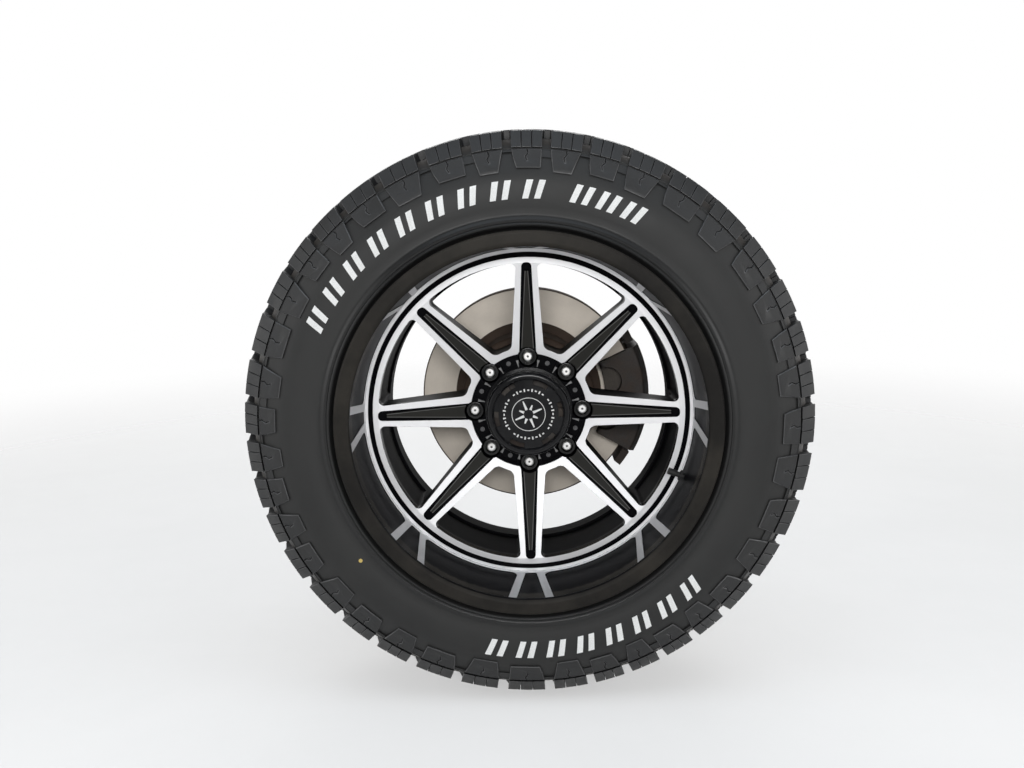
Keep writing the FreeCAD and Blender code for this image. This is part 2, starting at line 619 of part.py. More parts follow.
def valve_axis_bar(radius, start_r, end_r):
    """Round bar along the valve's line, which points at the axle from the lip."""
    base = FreeCAD.Vector(0, FACE_Y - VALVE_OUT, start_r)
    bar = Part.makeCylinder(radius, start_r - end_r, base, FreeCAD.Vector(0, 0, -1))
    return at_angle(bar, VALVE_DEG)


def make_rim():
    solid = rim_blank()
    cutters = around(window(), SPOKE_COUNT)
    cutters += around(pocket(), SPOKE_COUNT)
    cutters += around(lug_hole(), LUG_COUNT)
    cutters += around(plate_recess(), LUG_COUNT)
    cutters += lip_panels()
    cutters.append(valve_axis_bar(VALVE_STEM_R + FIT, BEAD_SEAT_R + CUT_OVERRUN, RING_OUTER_R))
    return solid.cut(cutters)


def make_valve():
    """Stem with its base against the lip's wall, and its cap."""
    wall_r = lip_wall_r(VALVE_OUT) - FIT
    base_end_r = wall_r - VALVE_BASE_THICK
    stem_end_r = wall_r - VALVE_LENGTH
    inside = valve_axis_bar(VALVE_STEM_R, wall_r + LIP_WALL, stem_end_r)
    stem = inside.fuse(valve_axis_bar(VALVE_BASE_R, wall_r - VALVE_BASE_SINK, base_end_r))
    cap_start_r = stem_end_r + VALVE_CAP_OVERLAP
    cap_end_r = cap_start_r - VALVE_CAP_LENGTH
    cap = valve_axis_bar(VALVE_CAP_R, cap_start_r, cap_end_r)
    return stem.cut(cap), cap


def make_nut():
    """Cone-seat lug nut at the top of the lug circle, open at its tip."""
    seat_back = LUG_SEAT_OUT - LUG_SEAT_LENGTH
    body = rod(NUT_R, LUG_SEAT_OUT, NUT_TIP_OUT, 0, LUG_CIRCLE_R)
    tip = [edge for edge in body.Edges if edge.BoundBox.YMax < FACE_Y - NUT_TIP_OUT + FIT]
    body = body.makeFillet(NUT_TIP_ROUND, tip)
    base = FreeCAD.Vector(0, FACE_Y - seat_back, LUG_CIRCLE_R)
    cone = Part.makeCone(LUG_BORE_R, NUT_R, LUG_SEAT_LENGTH, base, FreeCAD.Vector(0, -1, 0))
    bore = rod(STUD_R + FIT / 2, 0, FRONT_OUT, 0, LUG_CIRCLE_R)
    mouth = rod(NUT_MOUTH_R, NUT_TIP_OUT - NUT_MOUTH_DEPTH, FRONT_OUT, 0, LUG_CIRCLE_R)
    return body.fuse(cone).removeSplitter().cut([bore, mouth])


def make_stud():
    """Wheel stud: its head behind the hub flange, its tip in the nut's mouth."""
    head_out = -DISC_HAT_THICK - HUB_FLANGE_THICK
    shank = rod(STUD_R, head_out, STUD_TIP_OUT, 0, LUG_CIRCLE_R)
    tip = [edge for edge in shank.Edges if edge.BoundBox.YMax < FACE_Y - STUD_TIP_OUT + FIT]
    shank = shank.makeChamfer(STUD_TIP_CHAMFER, tip)
    head = rod(STUD_HEAD_R, head_out - STUD_HEAD_THICK, head_out, 0, LUG_CIRCLE_R)
    return shank.fuse(head)


def make_cap():
    """Centre cap: a flange on the hub plate, a round wall and a sunk face with slots."""
    body = turned([
        (PLATE_OUT, CAP_R - CAP_WALL, 0),
        (PLATE_OUT, CAP_FLANGE_R, 0),
        (PLATE_OUT + CAP_FLANGE_THICK, CAP_FLANGE_R, 0),
        (PLATE_OUT + CAP_FLANGE_THICK, CAP_R, 0),
        (CAP_FRONT_OUT, CAP_R, CAP_ROUND),
        (CAP_FRONT_OUT, CAP_FACE_R + CAP_FACE_SINK, 0),
        (CAP_FRONT_OUT - CAP_FACE_SINK, CAP_FACE_R, 0),
        (CAP_FRONT_OUT - CAP_FACE_SINK, 0, 0),
        (CAP_FRONT_OUT - CAP_FACE_SINK - CAP_WALL, 0, 0),
        (CAP_FRONT_OUT - CAP_FACE_SINK - CAP_WALL, CAP_R - CAP_WALL, 0),
    ])
    slot = turned([
        (CAP_FACE_OUT - CAP_WALL - CUT_OVERRUN, CAP_FACE_R - CAP_SLOT_WIDTH, 0),
        (CAP_FACE_OUT - CAP_WALL - CUT_OVERRUN, CAP_FACE_R, 0),
        (CAP_FRONT_OUT + CUT_OVERRUN, CAP_FACE_R, 0),
        (CAP_FRONT_OUT + CUT_OVERRUN, CAP_FACE_R - CAP_SLOT_WIDTH, 0),
    ], -CAP_SLOT_DEG / 2, CAP_SLOT_DEG)
    return body.cut(around(slot, CAP_SLOT_COUNT, CAP_SLOT_FIRST_DEG))


def make_hub():
    """Hub: flange for the disc and wheel, nose inside the wheel, and seats for the bearings."""
    flange_out = -DISC_HAT_THICK
    flange_in = flange_out - HUB_FLANGE_THICK
    bore_r = SPINDLE_R + RUN_CLEAR / 2
    seat_r = BEARING_OUTER_R
    register_r = CENTRE_BORE_R - FIT
    outer_seat = HUB_NOSE_OUT - BEARING_INSET - BEARING_WIDTH
    inner_seat = -HUB_BODY_IN + BEARING_INSET + BEARING_WIDTH
    solid = turned([
        (-HUB_BODY_IN, seat_r, 0),
        (-HUB_BODY_IN, HUB_BODY_R, HUB_BODY_ROUND),
        (flange_in, HUB_BODY_R, HUB_BODY_ROUND),
        (flange_in, HUB_FLANGE_R, HUB_BODY_ROUND),
        (flange_out, HUB_FLANGE_R, 0),
        (flange_out, register_r, 0),
        (HUB_REGISTER_LENGTH, register_r, 0),
        (HUB_REGISTER_LENGTH, HUB_NOSE_R, 0),
        (HUB_NOSE_OUT, HUB_NOSE_R, 0),
        (HUB_NOSE_OUT, seat_r, 0),
        (outer_seat, seat_r, 0),
        (outer_seat, bore_r, 0),
        (inner_seat, bore_r, 0),
        (inner_seat, seat_r, 0),
    ])
    stud_hole = rod(STUD_R + FIT / 2, flange_in - CUT_OVERRUN, 0, 0, LUG_CIRCLE_R)
    return solid.cut(around(stud_hole, LUG_COUNT))


def make_bearings():
    """Two bearing rings between the hub and the spindle."""
    outer_low = HUB_NOSE_OUT - BEARING_INSET - BEARING_WIDTH
    inner_low = -HUB_BODY_IN + BEARING_INSET
    outer_r = BEARING_OUTER_R - FIT
    inner_r = SPINDLE_R + FIT
    outer = sleeve(outer_r, inner_r, outer_low, outer_low + BEARING_WIDTH)
    inner = sleeve(outer_r, inner_r, inner_low, inner_low + BEARING_WIDTH)
    return Part.makeCompound([outer, inner])


def make_disc():
    """Vented disc: hat on the hub flange, two friction plates and vanes between them."""
    front = -DISC_FRONT_IN
    back = front - DISC_THICK
    hat = turned([
        (0, CENTRE_BORE_R, 0),
        (0, DISC_HAT_R, DISC_HAT_ROUND),
        (front - DISC_PLATE, DISC_HAT_R, 0),
        (front - DISC_PLATE, DISC_HAT_R - DISC_HAT_WALL, 0),
        (-DISC_HAT_THICK, DISC_HAT_R - DISC_HAT_WALL, 0),
        (-DISC_HAT_THICK, CENTRE_BORE_R, 0),
    ])
    plates = [
        sleeve(DISC_R, DISC_HAT_R - DISC_HAT_WALL, front - DISC_PLATE, front),
        sleeve(DISC_R, DISC_INNER_R, back, back + DISC_PLATE),
    ]
    vane_start_r = DISC_INNER_R + VANE_INSET
    vane = plate([
        (-VANE_THICK / 2, vane_start_r, 0),
        (-VANE_THICK / 2, DISC_R - VANE_INSET, 0),
        (VANE_THICK / 2, DISC_R - VANE_INSET, 0),
        (VANE_THICK / 2, vane_start_r, 0),
    ], back + DISC_PLATE, front - DISC_PLATE)
    solid = hat.fuse(plates + around(vane, VANE_COUNT)).removeSplitter()
    relief_r = PAD_INNER_R - DISC_RELIEF_INSET
    relief = sleeve(relief_r, relief_r - DISC_RELIEF_WIDTH, front - DISC_RELIEF_DEPTH, front + CUT_OVERRUN)
    stud_hole = rod(STUD_R + FIT / 2, -DISC_HAT_THICK - CUT_OVERRUN, CUT_OVERRUN, 0, LUG_CIRCLE_R)
    return solid.cut(around(stud_hole, LUG_COUNT) + [relief])


def make_shaft():
    """Axle shaft: drive flange on the hub's nose, bar through the tube, splined inboard end."""
    flange_out = HUB_NOSE_OUT
    end_out = -FACE_TO_CUT - SHAFT_END_BEYOND
    spline_out = end_out + SHAFT_SPLINE_LENGTH
    solid = turned([
        (end_out, 0, 0),
        (end_out, SHAFT_SPLINE_R, SHAFT_ROUND),
        (spline_out, SHAFT_SPLINE_R, 0),
        (spline_out, SHAFT_R, 0),
        (flange_out, SHAFT_R, 0),
        (flange_out, SHAFT_FLANGE_R, 0),
        (flange_out + SHAFT_FLANGE_THICK, SHAFT_FLANGE_R, SHAFT_ROUND),
        (flange_out + SHAFT_FLANGE_THICK, 0, 0),
    ])
    groove_width = math.pi * SHAFT_SPLINE_R / SPLINE_COUNT
    base = FreeCAD.Vector(-groove_width / 2, FACE_Y - spline_out, SHAFT_SPLINE_R - SPLINE_DEPTH)
    groove = Part.makeBox(groove_width, SHAFT_SPLINE_LENGTH + CUT_OVERRUN, SPLINE_DEPTH * 2, base)
    return solid.cut(around(groove, SPLINE_COUNT))


def make_shaft_bolts():
    """Hexagon heads that hold the drive flange to the hub."""
    low = HUB_NOSE_OUT + SHAFT_FLANGE_THICK
    head = hexagon(SHAFT_BOLT_HEAD_R, low, low + SHAFT_BOLT_HEAD_THICK, SHAFT_BOLT_CIRCLE_R)
    return Part.makeCompound(around(head, SHAFT_BOLT_COUNT))


def hexagon(radius, out_low, out_high, circle_r):
    """Hexagon head at the top of a circle."""
    corners = []
    for i in range(6):
        turn = math.radians(60 * i)
        corners.append((radius * math.sin(turn), circle_r + radius * math.cos(turn), 0))
    return plate(corners, out_low, out_high)


def make_tube():
    """Axle tube with its spindle."""
    flange_out = -BRAKE_FLANGE_IN - BRAKE_FLANGE_THICK
    bore_r = TUBE_R - TUBE_WALL
    spindle_bore_r = SHAFT_R + RUN_CLEAR
    return turned([
        (-FACE_TO_CUT, bore_r, 0),
        (-FACE_TO_CUT, TUBE_END_R, 0),
        (-FACE_TO_CUT + TUBE_END_LENGTH, TUBE_END_R, 0),
        (-FACE_TO_CUT + TUBE_END_LENGTH, TUBE_R, 0),
        (flange_out + BRAKE_FLANGE_THICK, TUBE_R, 0),
        (flange_out + BRAKE_FLANGE_THICK, SPINDLE_R, SPINDLE_FILLET),
        (SPINDLE_OUT, SPINDLE_R, SPINDLE_ROUND),
        (SPINDLE_OUT, spindle_bore_r, 0),
        (flange_out, spindle_bore_r, 0),
        (flange_out - TUBE_R, bore_r, 0),
    ])


def make_brake_flange():
    """Round flange welded on the tube, which carries the shield and the caliper bracket."""
    low = -BRACKET_IN
    solid = sleeve(BRAKE_FLANGE_R, TUBE_R, low, -BRAKE_FLANGE_IN)
    return solid


def make_perch():
    """Saddle welded on top of the tube, with the hole for the spring's centre pin."""
    middle = -PERCH_FROM_FACE
    low = middle - PERCH_WIDTH / 2
    high = middle + PERCH_WIDTH / 2
    half = PERCH_LENGTH / 2
    web_top = PERCH_TOP - PERCH_THICK
    pad = plate([
        (-half, web_top, 0),
        (-half, PERCH_TOP, PERCH_ROUND),
        (half, PERCH_TOP, PERCH_ROUND),
        (half, web_top, 0),
    ], low, high)
    web_outline = [
        (-TUBE_R, 0, 0),
        (-half, web_top, 0),
        (half, web_top, 0),
        (TUBE_R, 0, 0),
    ]
    webs = [
        plate(web_outline, low, low + PERCH_WEB_THICK),
        plate(web_outline, high - PERCH_WEB_THICK, high),
    ]
    solid = pad.fuse(webs).removeSplitter()
    pin_base = FreeCAD.Vector(0, FACE_Y - middle, web_top - CUT_OVERRUN)
    pin_hole = Part.makeCylinder(PERCH_PIN_R, PERCH_THICK + 2 * CUT_OVERRUN, pin_base)
    return solid.cut([rod(TUBE_R, low - CUT_OVERRUN, high + CUT_OVERRUN), pin_hole])


def make_shock_bracket():
    """Two ears under and behind the tube, with the eye for the shock absorber's bolt."""
    middle = -PERCH_FROM_FACE + SHOCK_FROM_PERCH
    reach = math.hypot(SHOCK_EYE_BACK, SHOCK_EYE_DROP)
    ear = plate([
        (-TUBE_R, 0, 0),
        (-SHOCK_EAR_R, reach + SHOCK_EAR_R, SHOCK_EAR_R * SHOCK_EAR_ROUND_SHARE),
        (SHOCK_EAR_R, reach + SHOCK_EAR_R, SHOCK_EAR_R * SHOCK_EAR_ROUND_SHARE),
        (TUBE_R, 0, 0),
    ], SHOCK_EAR_GAP / 2, SHOCK_EAR_GAP / 2 + SHOCK_EAR_THICK)
    span = SHOCK_EAR_GAP + 2 * SHOCK_EAR_THICK
    ear = ear.cut([rod(TUBE_R, 0, span), rod(SHOCK_BOLT_R, 0, span, 0, reach)])
    lean = 90 + math.degrees(math.atan2(SHOCK_EYE_DROP, SHOCK_EYE_BACK))
    ears = []
    for shift in (0, -SHOCK_EAR_GAP - SHOCK_EAR_THICK):
        copy = at_angle(ear, lean)
        copy.translate(FreeCAD.Vector(0, -middle - shift, 0))
        ears.append(copy)
    return Part.makeCompound(ears)


def caliper_sector(corners, half_deg):
    """Section turned through an arc about the caliper's middle."""
    return turned(corners, CALIPER_DEG - half_deg, 2 * half_deg)


def make_shield():
    """Thin shield behind the disc, open at the caliper."""
    disc = sleeve(SHIELD_R, TUBE_R + SHIELD_BORE_MARGIN, -SHIELD_IN - SHIELD_THICK, -SHIELD_IN)
    gap = caliper_sector([
        (-SHIELD_IN - SHIELD_THICK - CUT_OVERRUN, BRAKE_FLANGE_R, 0),
        (-SHIELD_IN - SHIELD_THICK - CUT_OVERRUN, SHIELD_R + CUT_OVERRUN, 0),
        (-SHIELD_IN + CUT_OVERRUN, SHIELD_R + CUT_OVERRUN, 0),
        (-SHIELD_IN + CUT_OVERRUN, BRAKE_FLANGE_R, 0),
    ], SHIELD_GAP_HALF_DEG)
    return disc.cut(gap)


def make_shield_bolts():
    """Heads of the bolts that hold the shield, on its outboard face."""
    low = -SHIELD_IN
    head = hexagon(SHIELD_BOLT_HEAD_R, low, low + SHIELD_BOLT_HEAD_THICK, SHIELD_BOLT_CIRCLE_R)
    return Part.makeCompound(around(head, SHIELD_BOLT_COUNT, CALIPER_DEG + 180 / SHIELD_BOLT_COUNT))


def make_bracket():
    """Caliper bracket: a plate behind the brake flange and an arm over the disc at each end."""
    plate_low = -BRACKET_IN - BRACKET_PLATE_THICK
    arm_high = -DISC_FRONT_IN + PAD_CLEAR + PAD_FRICTION_THICK
    arm_inner_r = DISC_R + RUN_CLEAR
    base = caliper_sector([
        (plate_low, BRACKET_INNER_R, 0),
        (plate_low, BRACKET_OUTER_R, 0),
        (-BRACKET_IN, BRACKET_OUTER_R, 0),
        (-BRACKET_IN, BRACKET_INNER_R, 0),
    ], BRACKET_HALF_DEG)
    window_cut = caliper_sector([
        (plate_low - CUT_OVERRUN, CALIPER_INNER_R - CUT_OVERRUN, 0),
        (plate_low - CUT_OVERRUN, BRACKET_OUTER_R + CUT_OVERRUN, 0),
        (-BRACKET_IN + CUT_OVERRUN, BRACKET_OUTER_R + CUT_OVERRUN, 0),
        (-BRACKET_IN + CUT_OVERRUN, CALIPER_INNER_R - CUT_OVERRUN, 0),
    ], BRACKET_HALF_DEG - BRACKET_ARM_DEG)
    arm = turned([
        (plate_low, arm_inner_r, 0),
        (plate_low, BRACKET_OUTER_R, 0),
        (arm_high, BRACKET_OUTER_R, 0),
        (arm_high, arm_inner_r, 0),
    ], CALIPER_DEG - BRACKET_HALF_DEG, BRACKET_ARM_DEG)
    far_arm = at_angle(arm, 2 * BRACKET_HALF_DEG - BRACKET_ARM_DEG)
    return base.cut(window_cut).fuse([arm, far_arm]).removeSplitter()


def make_bracket_bolts():
    """Heads of the bolts that hold the bracket to the brake flange."""
    high = -BRACKET_IN - BRACKET_PLATE_THICK
    head = hexagon(BRACKET_BOLT_HEAD_R, high - BRACKET_BOLT_HEAD_THICK, high, BRACKET_BOLT_CIRCLE_R)
    heads = [at_angle(head, CALIPER_DEG + sign * BRACKET_BOLT_HALF_DEG) for sign in (-1, 1)]
    return Part.makeCompound(heads)


def make_caliper():
    """Caliper: outboard fingers, bridge over the disc, inboard housing and two piston bosses."""
    pad_out = -DISC_FRONT_IN + PAD_CLEAR + PAD_FRICTION_THICK + PAD_PLATE_THICK
    pad_in = -DISC_BACK_IN - PAD_CLEAR - PAD_FRICTION_THICK - PAD_PLATE_THICK
    front = pad_out + CALIPER_FINGER_THICK
    back = -CALIPER_BACK_IN
    bridge_r = DISC_R + RUN_CLEAR
    body = caliper_sector([
        (front, CALIPER_INNER_R, CALIPER_ROUND),
        (front, CALIPER_FRONT_R, CALIPER_ROUND),
        (pad_out, CALIPER_OUTER_R, CALIPER_ROUND),
        (back, CALIPER_OUTER_R, CALIPER_ROUND),
        (back, CALIPER_INNER_R, CALIPER_ROUND),
        (pad_in, CALIPER_INNER_R, 0),
        (pad_in, bridge_r, 0),
        (pad_out, bridge_r, 0),
        (pad_out, CALIPER_INNER_R, 0),
    ], CALIPER_HALF_DEG)
    joined = [caliper_sector([
        (EAR_OUT, EAR_INNER_R, 0),
        (EAR_OUT, EAR_OUTER_R, EAR_ROUND),
        (EAR_OUT + EAR_THICK, EAR_OUTER_R, EAR_ROUND),
        (EAR_OUT + EAR_THICK, EAR_INNER_R, 0),
    ], BRACKET_HALF_DEG)]
    cutters = []
    for sign in (-1, 1):
        angle = CALIPER_DEG + sign * PISTON_HALF_DEG
        boss_low = back - PISTON_BOSS_LENGTH
        joined.append(rod_at(PISTON_BOSS_R, boss_low, back + FIT, PISTON_CIRCLE_R, angle))
        cutters.append(rod_at(SCALLOP_R, pad_out, front + CUT_OVERRUN, SCALLOP_CIRCLE_R, angle))
        hole_low = EAR_OUT - CUT_OVERRUN
        hole_high = EAR_OUT + EAR_THICK + CUT_OVERRUN
        pin_angle = CALIPER_DEG + sign * GUIDE_PIN_DEG
        cutters.append(rod_at(GUIDE_PIN_R + FIT, hole_low, hole_high, GUIDE_PIN_CIRCLE_R, pin_angle))
    return body.fuse(joined).removeSplitter().cut(cutters)


def make_pads():
    """Outer and inner brake pads, each a friction block on its plate."""
    sides = []
    for start, sign in ((-DISC_FRONT_IN + PAD_CLEAR, 1), (-DISC_BACK_IN - PAD_CLEAR, -1)):
        total = PAD_FRICTION_THICK + PAD_PLATE_THICK - FIT
        end = start + sign * total
        low, high = min(start, end), max(start, end)
        sides.append(caliper_sector([
            (low, PAD_INNER_R, 0),
            (low, PAD_OUTER_R, 0),
            (high, PAD_OUTER_R, 0),
            (high, PAD_INNER_R, 0),
        ], PAD_HALF_DEG))
    return Part.makeCompound(sides)


def make_guide_pins():
    """Pins on which the caliper's ears slide, screwed into the bracket's plate."""
    plate_low = -BRACKET_IN - BRACKET_PLATE_THICK
    pins = []
    for sign in (-1, 1):
        angle = CALIPER_DEG + sign * GUIDE_PIN_DEG
        shank = rod_at(GUIDE_PIN_R, EAR_OUT, plate_low, GUIDE_PIN_CIRCLE_R, angle)
        head_low = EAR_OUT - GUIDE_PIN_HEAD_THICK
        head = rod_at(GUIDE_PIN_HEAD_R, head_low, EAR_OUT, GUIDE_PIN_CIRCLE_R, angle)
        pins.append(shank.fuse(head))
    return Part.makeCompound(pins)


def make_pin_boots():
    """Folded rubber boots round the guide pins, between the bracket and the ears."""
    low = EAR_OUT + EAR_THICK
    high = -BRACKET_IN - BRACKET_PLATE_THICK
    fold = (high - low) / BOOT_FOLDS
    corners = [(low, GUIDE_PIN_R + FIT, 0)]
    for i in range(BOOT_FOLDS):
        corners.append((low + i * fold, BOOT_WAIST_R, 0))
        corners.append((low + (i + 0.5) * fold, BOOT_R, 0))
    corners.append((high, BOOT_WAIST_R, 0))
    corners.append((high, GUIDE_PIN_R + FIT, 0))
    boot = turned(corners)
    boot.translate(FreeCAD.Vector(0, 0, GUIDE_PIN_CIRCLE_R))
    boots = [at_angle(boot, CALIPER_DEG + sign * GUIDE_PIN_DEG) for sign in (-1, 1)]
    return Part.makeCompound(boots)


def make_bleed_screw():
    """Bleed screw on top of the housing."""
    circle_r = PISTON_CIRCLE_R + PISTON_BOSS_R / 2
    low = -CALIPER_BACK_IN - PISTON_BOSS_LENGTH - BLEED_LENGTH
    return rod_at(BLEED_R, low, low + BLEED_LENGTH, circle_r, CALIPER_DEG - PISTON_HALF_DEG)


def tyre_point(from_middle, radius):
    """Point of the tyre's section, measured from its middle plane."""
    return on_section(RIM_BACKSET + from_middle, radius)


def sidewall_point(shares, sign):
    """Point of the sidewall's outside from its shares of height and of reach."""
    up, out = shares
    tread_half = TREAD_WIDTH / 2
    half = tread_half + out * (TYRE_SECTION / 2 - tread_half)
    return tyre_point(sign * half, FLANGE_R + up * (TYRE_R - FLANGE_R))


def bead_toe():
    """Half width and radius of the bead's toe."""
    half = RIM_WIDTH / 2 - FLANGE_THICK - FIT - BEAD_WIDTH
    return half, BEAD_SEAT_R - BEAD_HUMP_DROP * BEAD_WIDTH / BEAD_SEAT_WIDTH + FIT


def tyre_outside(sign):
    """Points of one side of the tyre's section, from the bead's toe to the tread's flat middle."""
    toe_half, toe_r = bead_toe()
    bead_half = toe_half + BEAD_WIDTH
    return [
        tyre_point(sign * toe_half, toe_r),
        tyre_point(sign * bead_half, BEAD_SEAT_R + FLANGE_ROUND),
        tyre_point(sign * bead_half, FLANGE_R + FIT),
        sidewall_point(GUARD_SHARES, sign),
        sidewall_point(LUG_FOOT_SHARES, sign),
        sidewall_point(PARTING_SHARES, sign),
        sidewall_point(SHOULDER_SHARES, sign),
        tyre_point(sign * TREAD_WIDTH * CROWN_SHARE / 2, TYRE_R),
    ]


def tyre_inside(sign):
    """Points of one side of the tyre's cavity over the bead's toe, from its crown."""
    toe_half = bead_toe()[0]
    return [
        sidewall_point(LINER_CROWN_SHARES, sign),
        tyre_point(sign * toe_half, FLANGE_R + LINER_TURN_SHARE * (TYRE_R - FLANGE_R)),
    ]


def beyond(start, through):
    """Point past the end of the line from start through another point, off the tyre."""
    return through + (through - start).normalize() * LUG_CUT_OVERRUN


def faceted(corners, sweep_deg):
    """Solid with flat faces from a polygon that holds no point of the axle line to its turned copy."""
    turn = FreeCAD.Rotation(AXIS_Y, sweep_deg)
    far = [turn.multVec(corner) for corner in corners]
    outlines = [corners, far]
    for index in range(len(corners)):
        after = (index + 1) % len(corners)
        outlines.append([corners[index], corners[after], far[after], far[index]])
    faces = [Part.Face(Part.makePolygon(outline + outline[:1])) for outline in outlines]
    return Part.Solid(Part.Shell(faces))


def shoulder_cutter(low, bend, high, sign, sweep_deg):
    """Cutter that leaves two flat faces from the sidewall over a bend to the tread."""
    points = [sidewall_point(shares, sign) for shares in (low, bend, high)]
    lower = beyond(points[1], points[0])
    upper = beyond(points[1], points[2])
    outside = FreeCAD.Vector(0, lower.y, upper.z)
    return faceted([lower, points[1], upper, outside], sweep_deg)


def lug_cutters(sign):
    """Cutters for the flat faces of every lug on one side, and for the grooves between them."""
    total = sum(LUG_PITCHES[size] for size in LUG_ORDER)
    cutters = []
    start = FIRST_LUG_DEG if sign > 0 else FIRST_LUG_DEG + INBOARD_LUG_TURN_DEG
    for size in LUG_ORDER:
        pitch = LUG_PITCHES[size] * 360 / total
        gap = pitch * LUG_GAP_SHARE
        lug = pitch - gap
        face = shoulder_cutter(LUG_FOOT_SHARES, PARTING_SHARES, SHOULDER_SHARES, sign, lug)
        groove = shoulder_cutter(LUG_FOOT_SHARES, FLOOR_BEND_SHARES, FLOOR_END_SHARES, sign, gap)
        cutters.append(at_angle(face, start))
        cutters.append(at_angle(groove, start + lug))
        start += pitch
    return cutters


def make_tyre():
    """Tyre: carcass turned from its section, then its lugs cut with flat faces."""
    points = tyre_outside(1) + tyre_outside(-1)[::-1]
    points += tyre_inside(-1)[::-1] + tyre_inside(1)
    solid = Part.Face(Part.makePolygon(points + points[:1])).revolve(CENTRE, AXIS_Y, 360)
    return solid.cut(lug_cutters(1) + lug_cutters(-1))


def main():
    valve_stem, valve_cap = make_valve()
    nodes = {
        "tyre": make_tyre(),
        "rim": make_rim(),
        "centre_cap": make_cap(),
        "lug_nuts": Part.makeCompound(around(make_nut(), LUG_COUNT)),
        "wheel_studs": Part.makeCompound(around(make_stud(), LUG_COUNT)),
        "hub": make_hub(),
        "wheel_bearings": make_bearings(),
        "brake_disc": make_disc(),
        "axle_shaft": make_shaft(),
        "shaft_bolts": make_shaft_bolts(),
        "valve_stem": valve_stem,
        "valve_cap": valve_cap,
        "axle_tube": make_tube(),
        "brake_flange": make_brake_flange(),
        "spring_perch": make_perch(),
        "shock_bracket": make_shock_bracket(),
        "dust_shield": make_shield(),
        "shield_bolts": make_shield_bolts(),
        "caliper_bracket": make_bracket(),
        "bracket_bolts": make_bracket_bolts(),
        "caliper_body": make_caliper(),
        "brake_pads": make_pads(),
        "guide_pins": make_guide_pins(),
        "pin_boots": make_pin_boots(),
        "bleed_screw": make_bleed_screw(),
    }
    os.makedirs("parts", exist_ok=True)
    for name, shape in nodes.items():
        shape.exportStep("parts/" + name + ".step")
        print(name, len(shape.Solids), "solids, valid:", shape.isValid(), "volume:", round(shape.Volume))


main()
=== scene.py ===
"""Looks of the rear wheel end: the detailed tyre, every finish, the stage and the camera."""

import math

import bmesh
import bpy
from bpy.props import FloatProperty, FloatVectorProperty, IntProperty, PointerProperty
from mathutils import Matrix, Vector


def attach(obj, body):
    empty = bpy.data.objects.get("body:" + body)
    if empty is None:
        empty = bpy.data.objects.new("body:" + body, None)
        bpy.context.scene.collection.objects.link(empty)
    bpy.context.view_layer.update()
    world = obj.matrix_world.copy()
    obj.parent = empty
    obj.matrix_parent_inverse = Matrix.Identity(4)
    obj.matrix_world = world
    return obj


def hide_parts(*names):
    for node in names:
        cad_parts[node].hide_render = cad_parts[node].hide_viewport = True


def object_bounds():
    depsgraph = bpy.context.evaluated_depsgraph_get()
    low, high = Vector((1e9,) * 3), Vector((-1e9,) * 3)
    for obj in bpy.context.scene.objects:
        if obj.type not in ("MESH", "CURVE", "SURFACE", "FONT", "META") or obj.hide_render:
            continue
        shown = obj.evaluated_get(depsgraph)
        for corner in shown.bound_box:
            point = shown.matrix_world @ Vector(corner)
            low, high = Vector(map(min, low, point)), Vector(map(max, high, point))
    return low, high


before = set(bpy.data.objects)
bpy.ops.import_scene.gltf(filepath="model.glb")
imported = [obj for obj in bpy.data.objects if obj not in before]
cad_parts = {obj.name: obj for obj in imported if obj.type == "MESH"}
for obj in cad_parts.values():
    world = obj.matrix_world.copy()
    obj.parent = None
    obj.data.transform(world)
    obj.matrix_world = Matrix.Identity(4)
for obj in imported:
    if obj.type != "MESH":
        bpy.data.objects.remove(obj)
CAD_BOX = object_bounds()

bl_info = {
    "name": "Rear wheel end looks",
    "version": (1, 0, 0),
    "blender": (4, 5, 0),
    "location": "View3D > Sidebar > Wheel end",
    "description": "Builds the detailed tyre, the finishes and the stage around the packed wheel end",
    "category": "Object",
}

MM = 0.001
FULL_TURN = 2.0 * math.pi
SPUN_SEAM = 1e-6  # the two ends of a full turn meet within this
SAME_POINT = 2e-6  # corners nearer than this are one corner
CRISP_ANGLE = math.radians(32.0)  # edges sharper than this stay crisp
TYRE_MID_Y = -0.494  # the tyre's middle plane
FACE_Y = -0.450  # the face that the wheel bolts to
WRAP_R = 400.0  # blocks are laid out flat with arcs measured at this radius, mm
INBOARD_TURN = math.radians(4.4)  # the inboard blocks lie this far round from the outboard ones

# Places of the CAD wheel, in m: radii about the axle, and distances outboard of the bolting face
HUB_EDGE = (0.0885, 0.073)  # inner end of the turned face
RING_EDGE = (0.226, 0.102)  # outer end, at the face ring
RING_R = 0.2345
EDGE_RING_R = (0.242, 0.2465)
EDGE_RING_OUT = 0.1005
LIP_START = (0.102, 0.2465)  # the lip's inner wall, at the edge ring
LIP_END = (0.209, 0.252)  # and at the flange
FORK_OUT = (0.102, 0.199)
INSERT_DROP = 0.0016
INSERT_R = (0.095, 0.2145)
INSERT_HALF = (0.010, 0.003)  # half widths at the ends of INSERT_R
INSERT_HIGHLIGHT_LINE = (0.0007, 0.0015)  # a painted highlight line, for the light a chamfer would catch, lies this far inside an insert's edge
FLANGE_R = (0.2519, 0.276)
BARREL_OUT = (0.080, 0.096)  # the inside of the barrel is behind this
LIP_R = (0.2410, 0.2450)  # the lip's duller paint sets in between these
SPOKES = 8
LUG_CIRCLE = 0.08255
LUG_TURN = FULL_TURN / SPOKES
STUD_END_OUT = (0.058, 0.060)
# the dent at a stud's end, its shade painted dark, is full inside the first radius and gone past the second
STUD_HOLE_R = (0.0014, 0.0018)
SWEPT_R = (0.1222, 0.1758)  # the disc's face under the pads
PLATE_OUT = 0.068
PLATE_BOLT_R = 0.0775  # the small bolts' distance from the axle
RECESS_FLOOR_OUT = 0.064
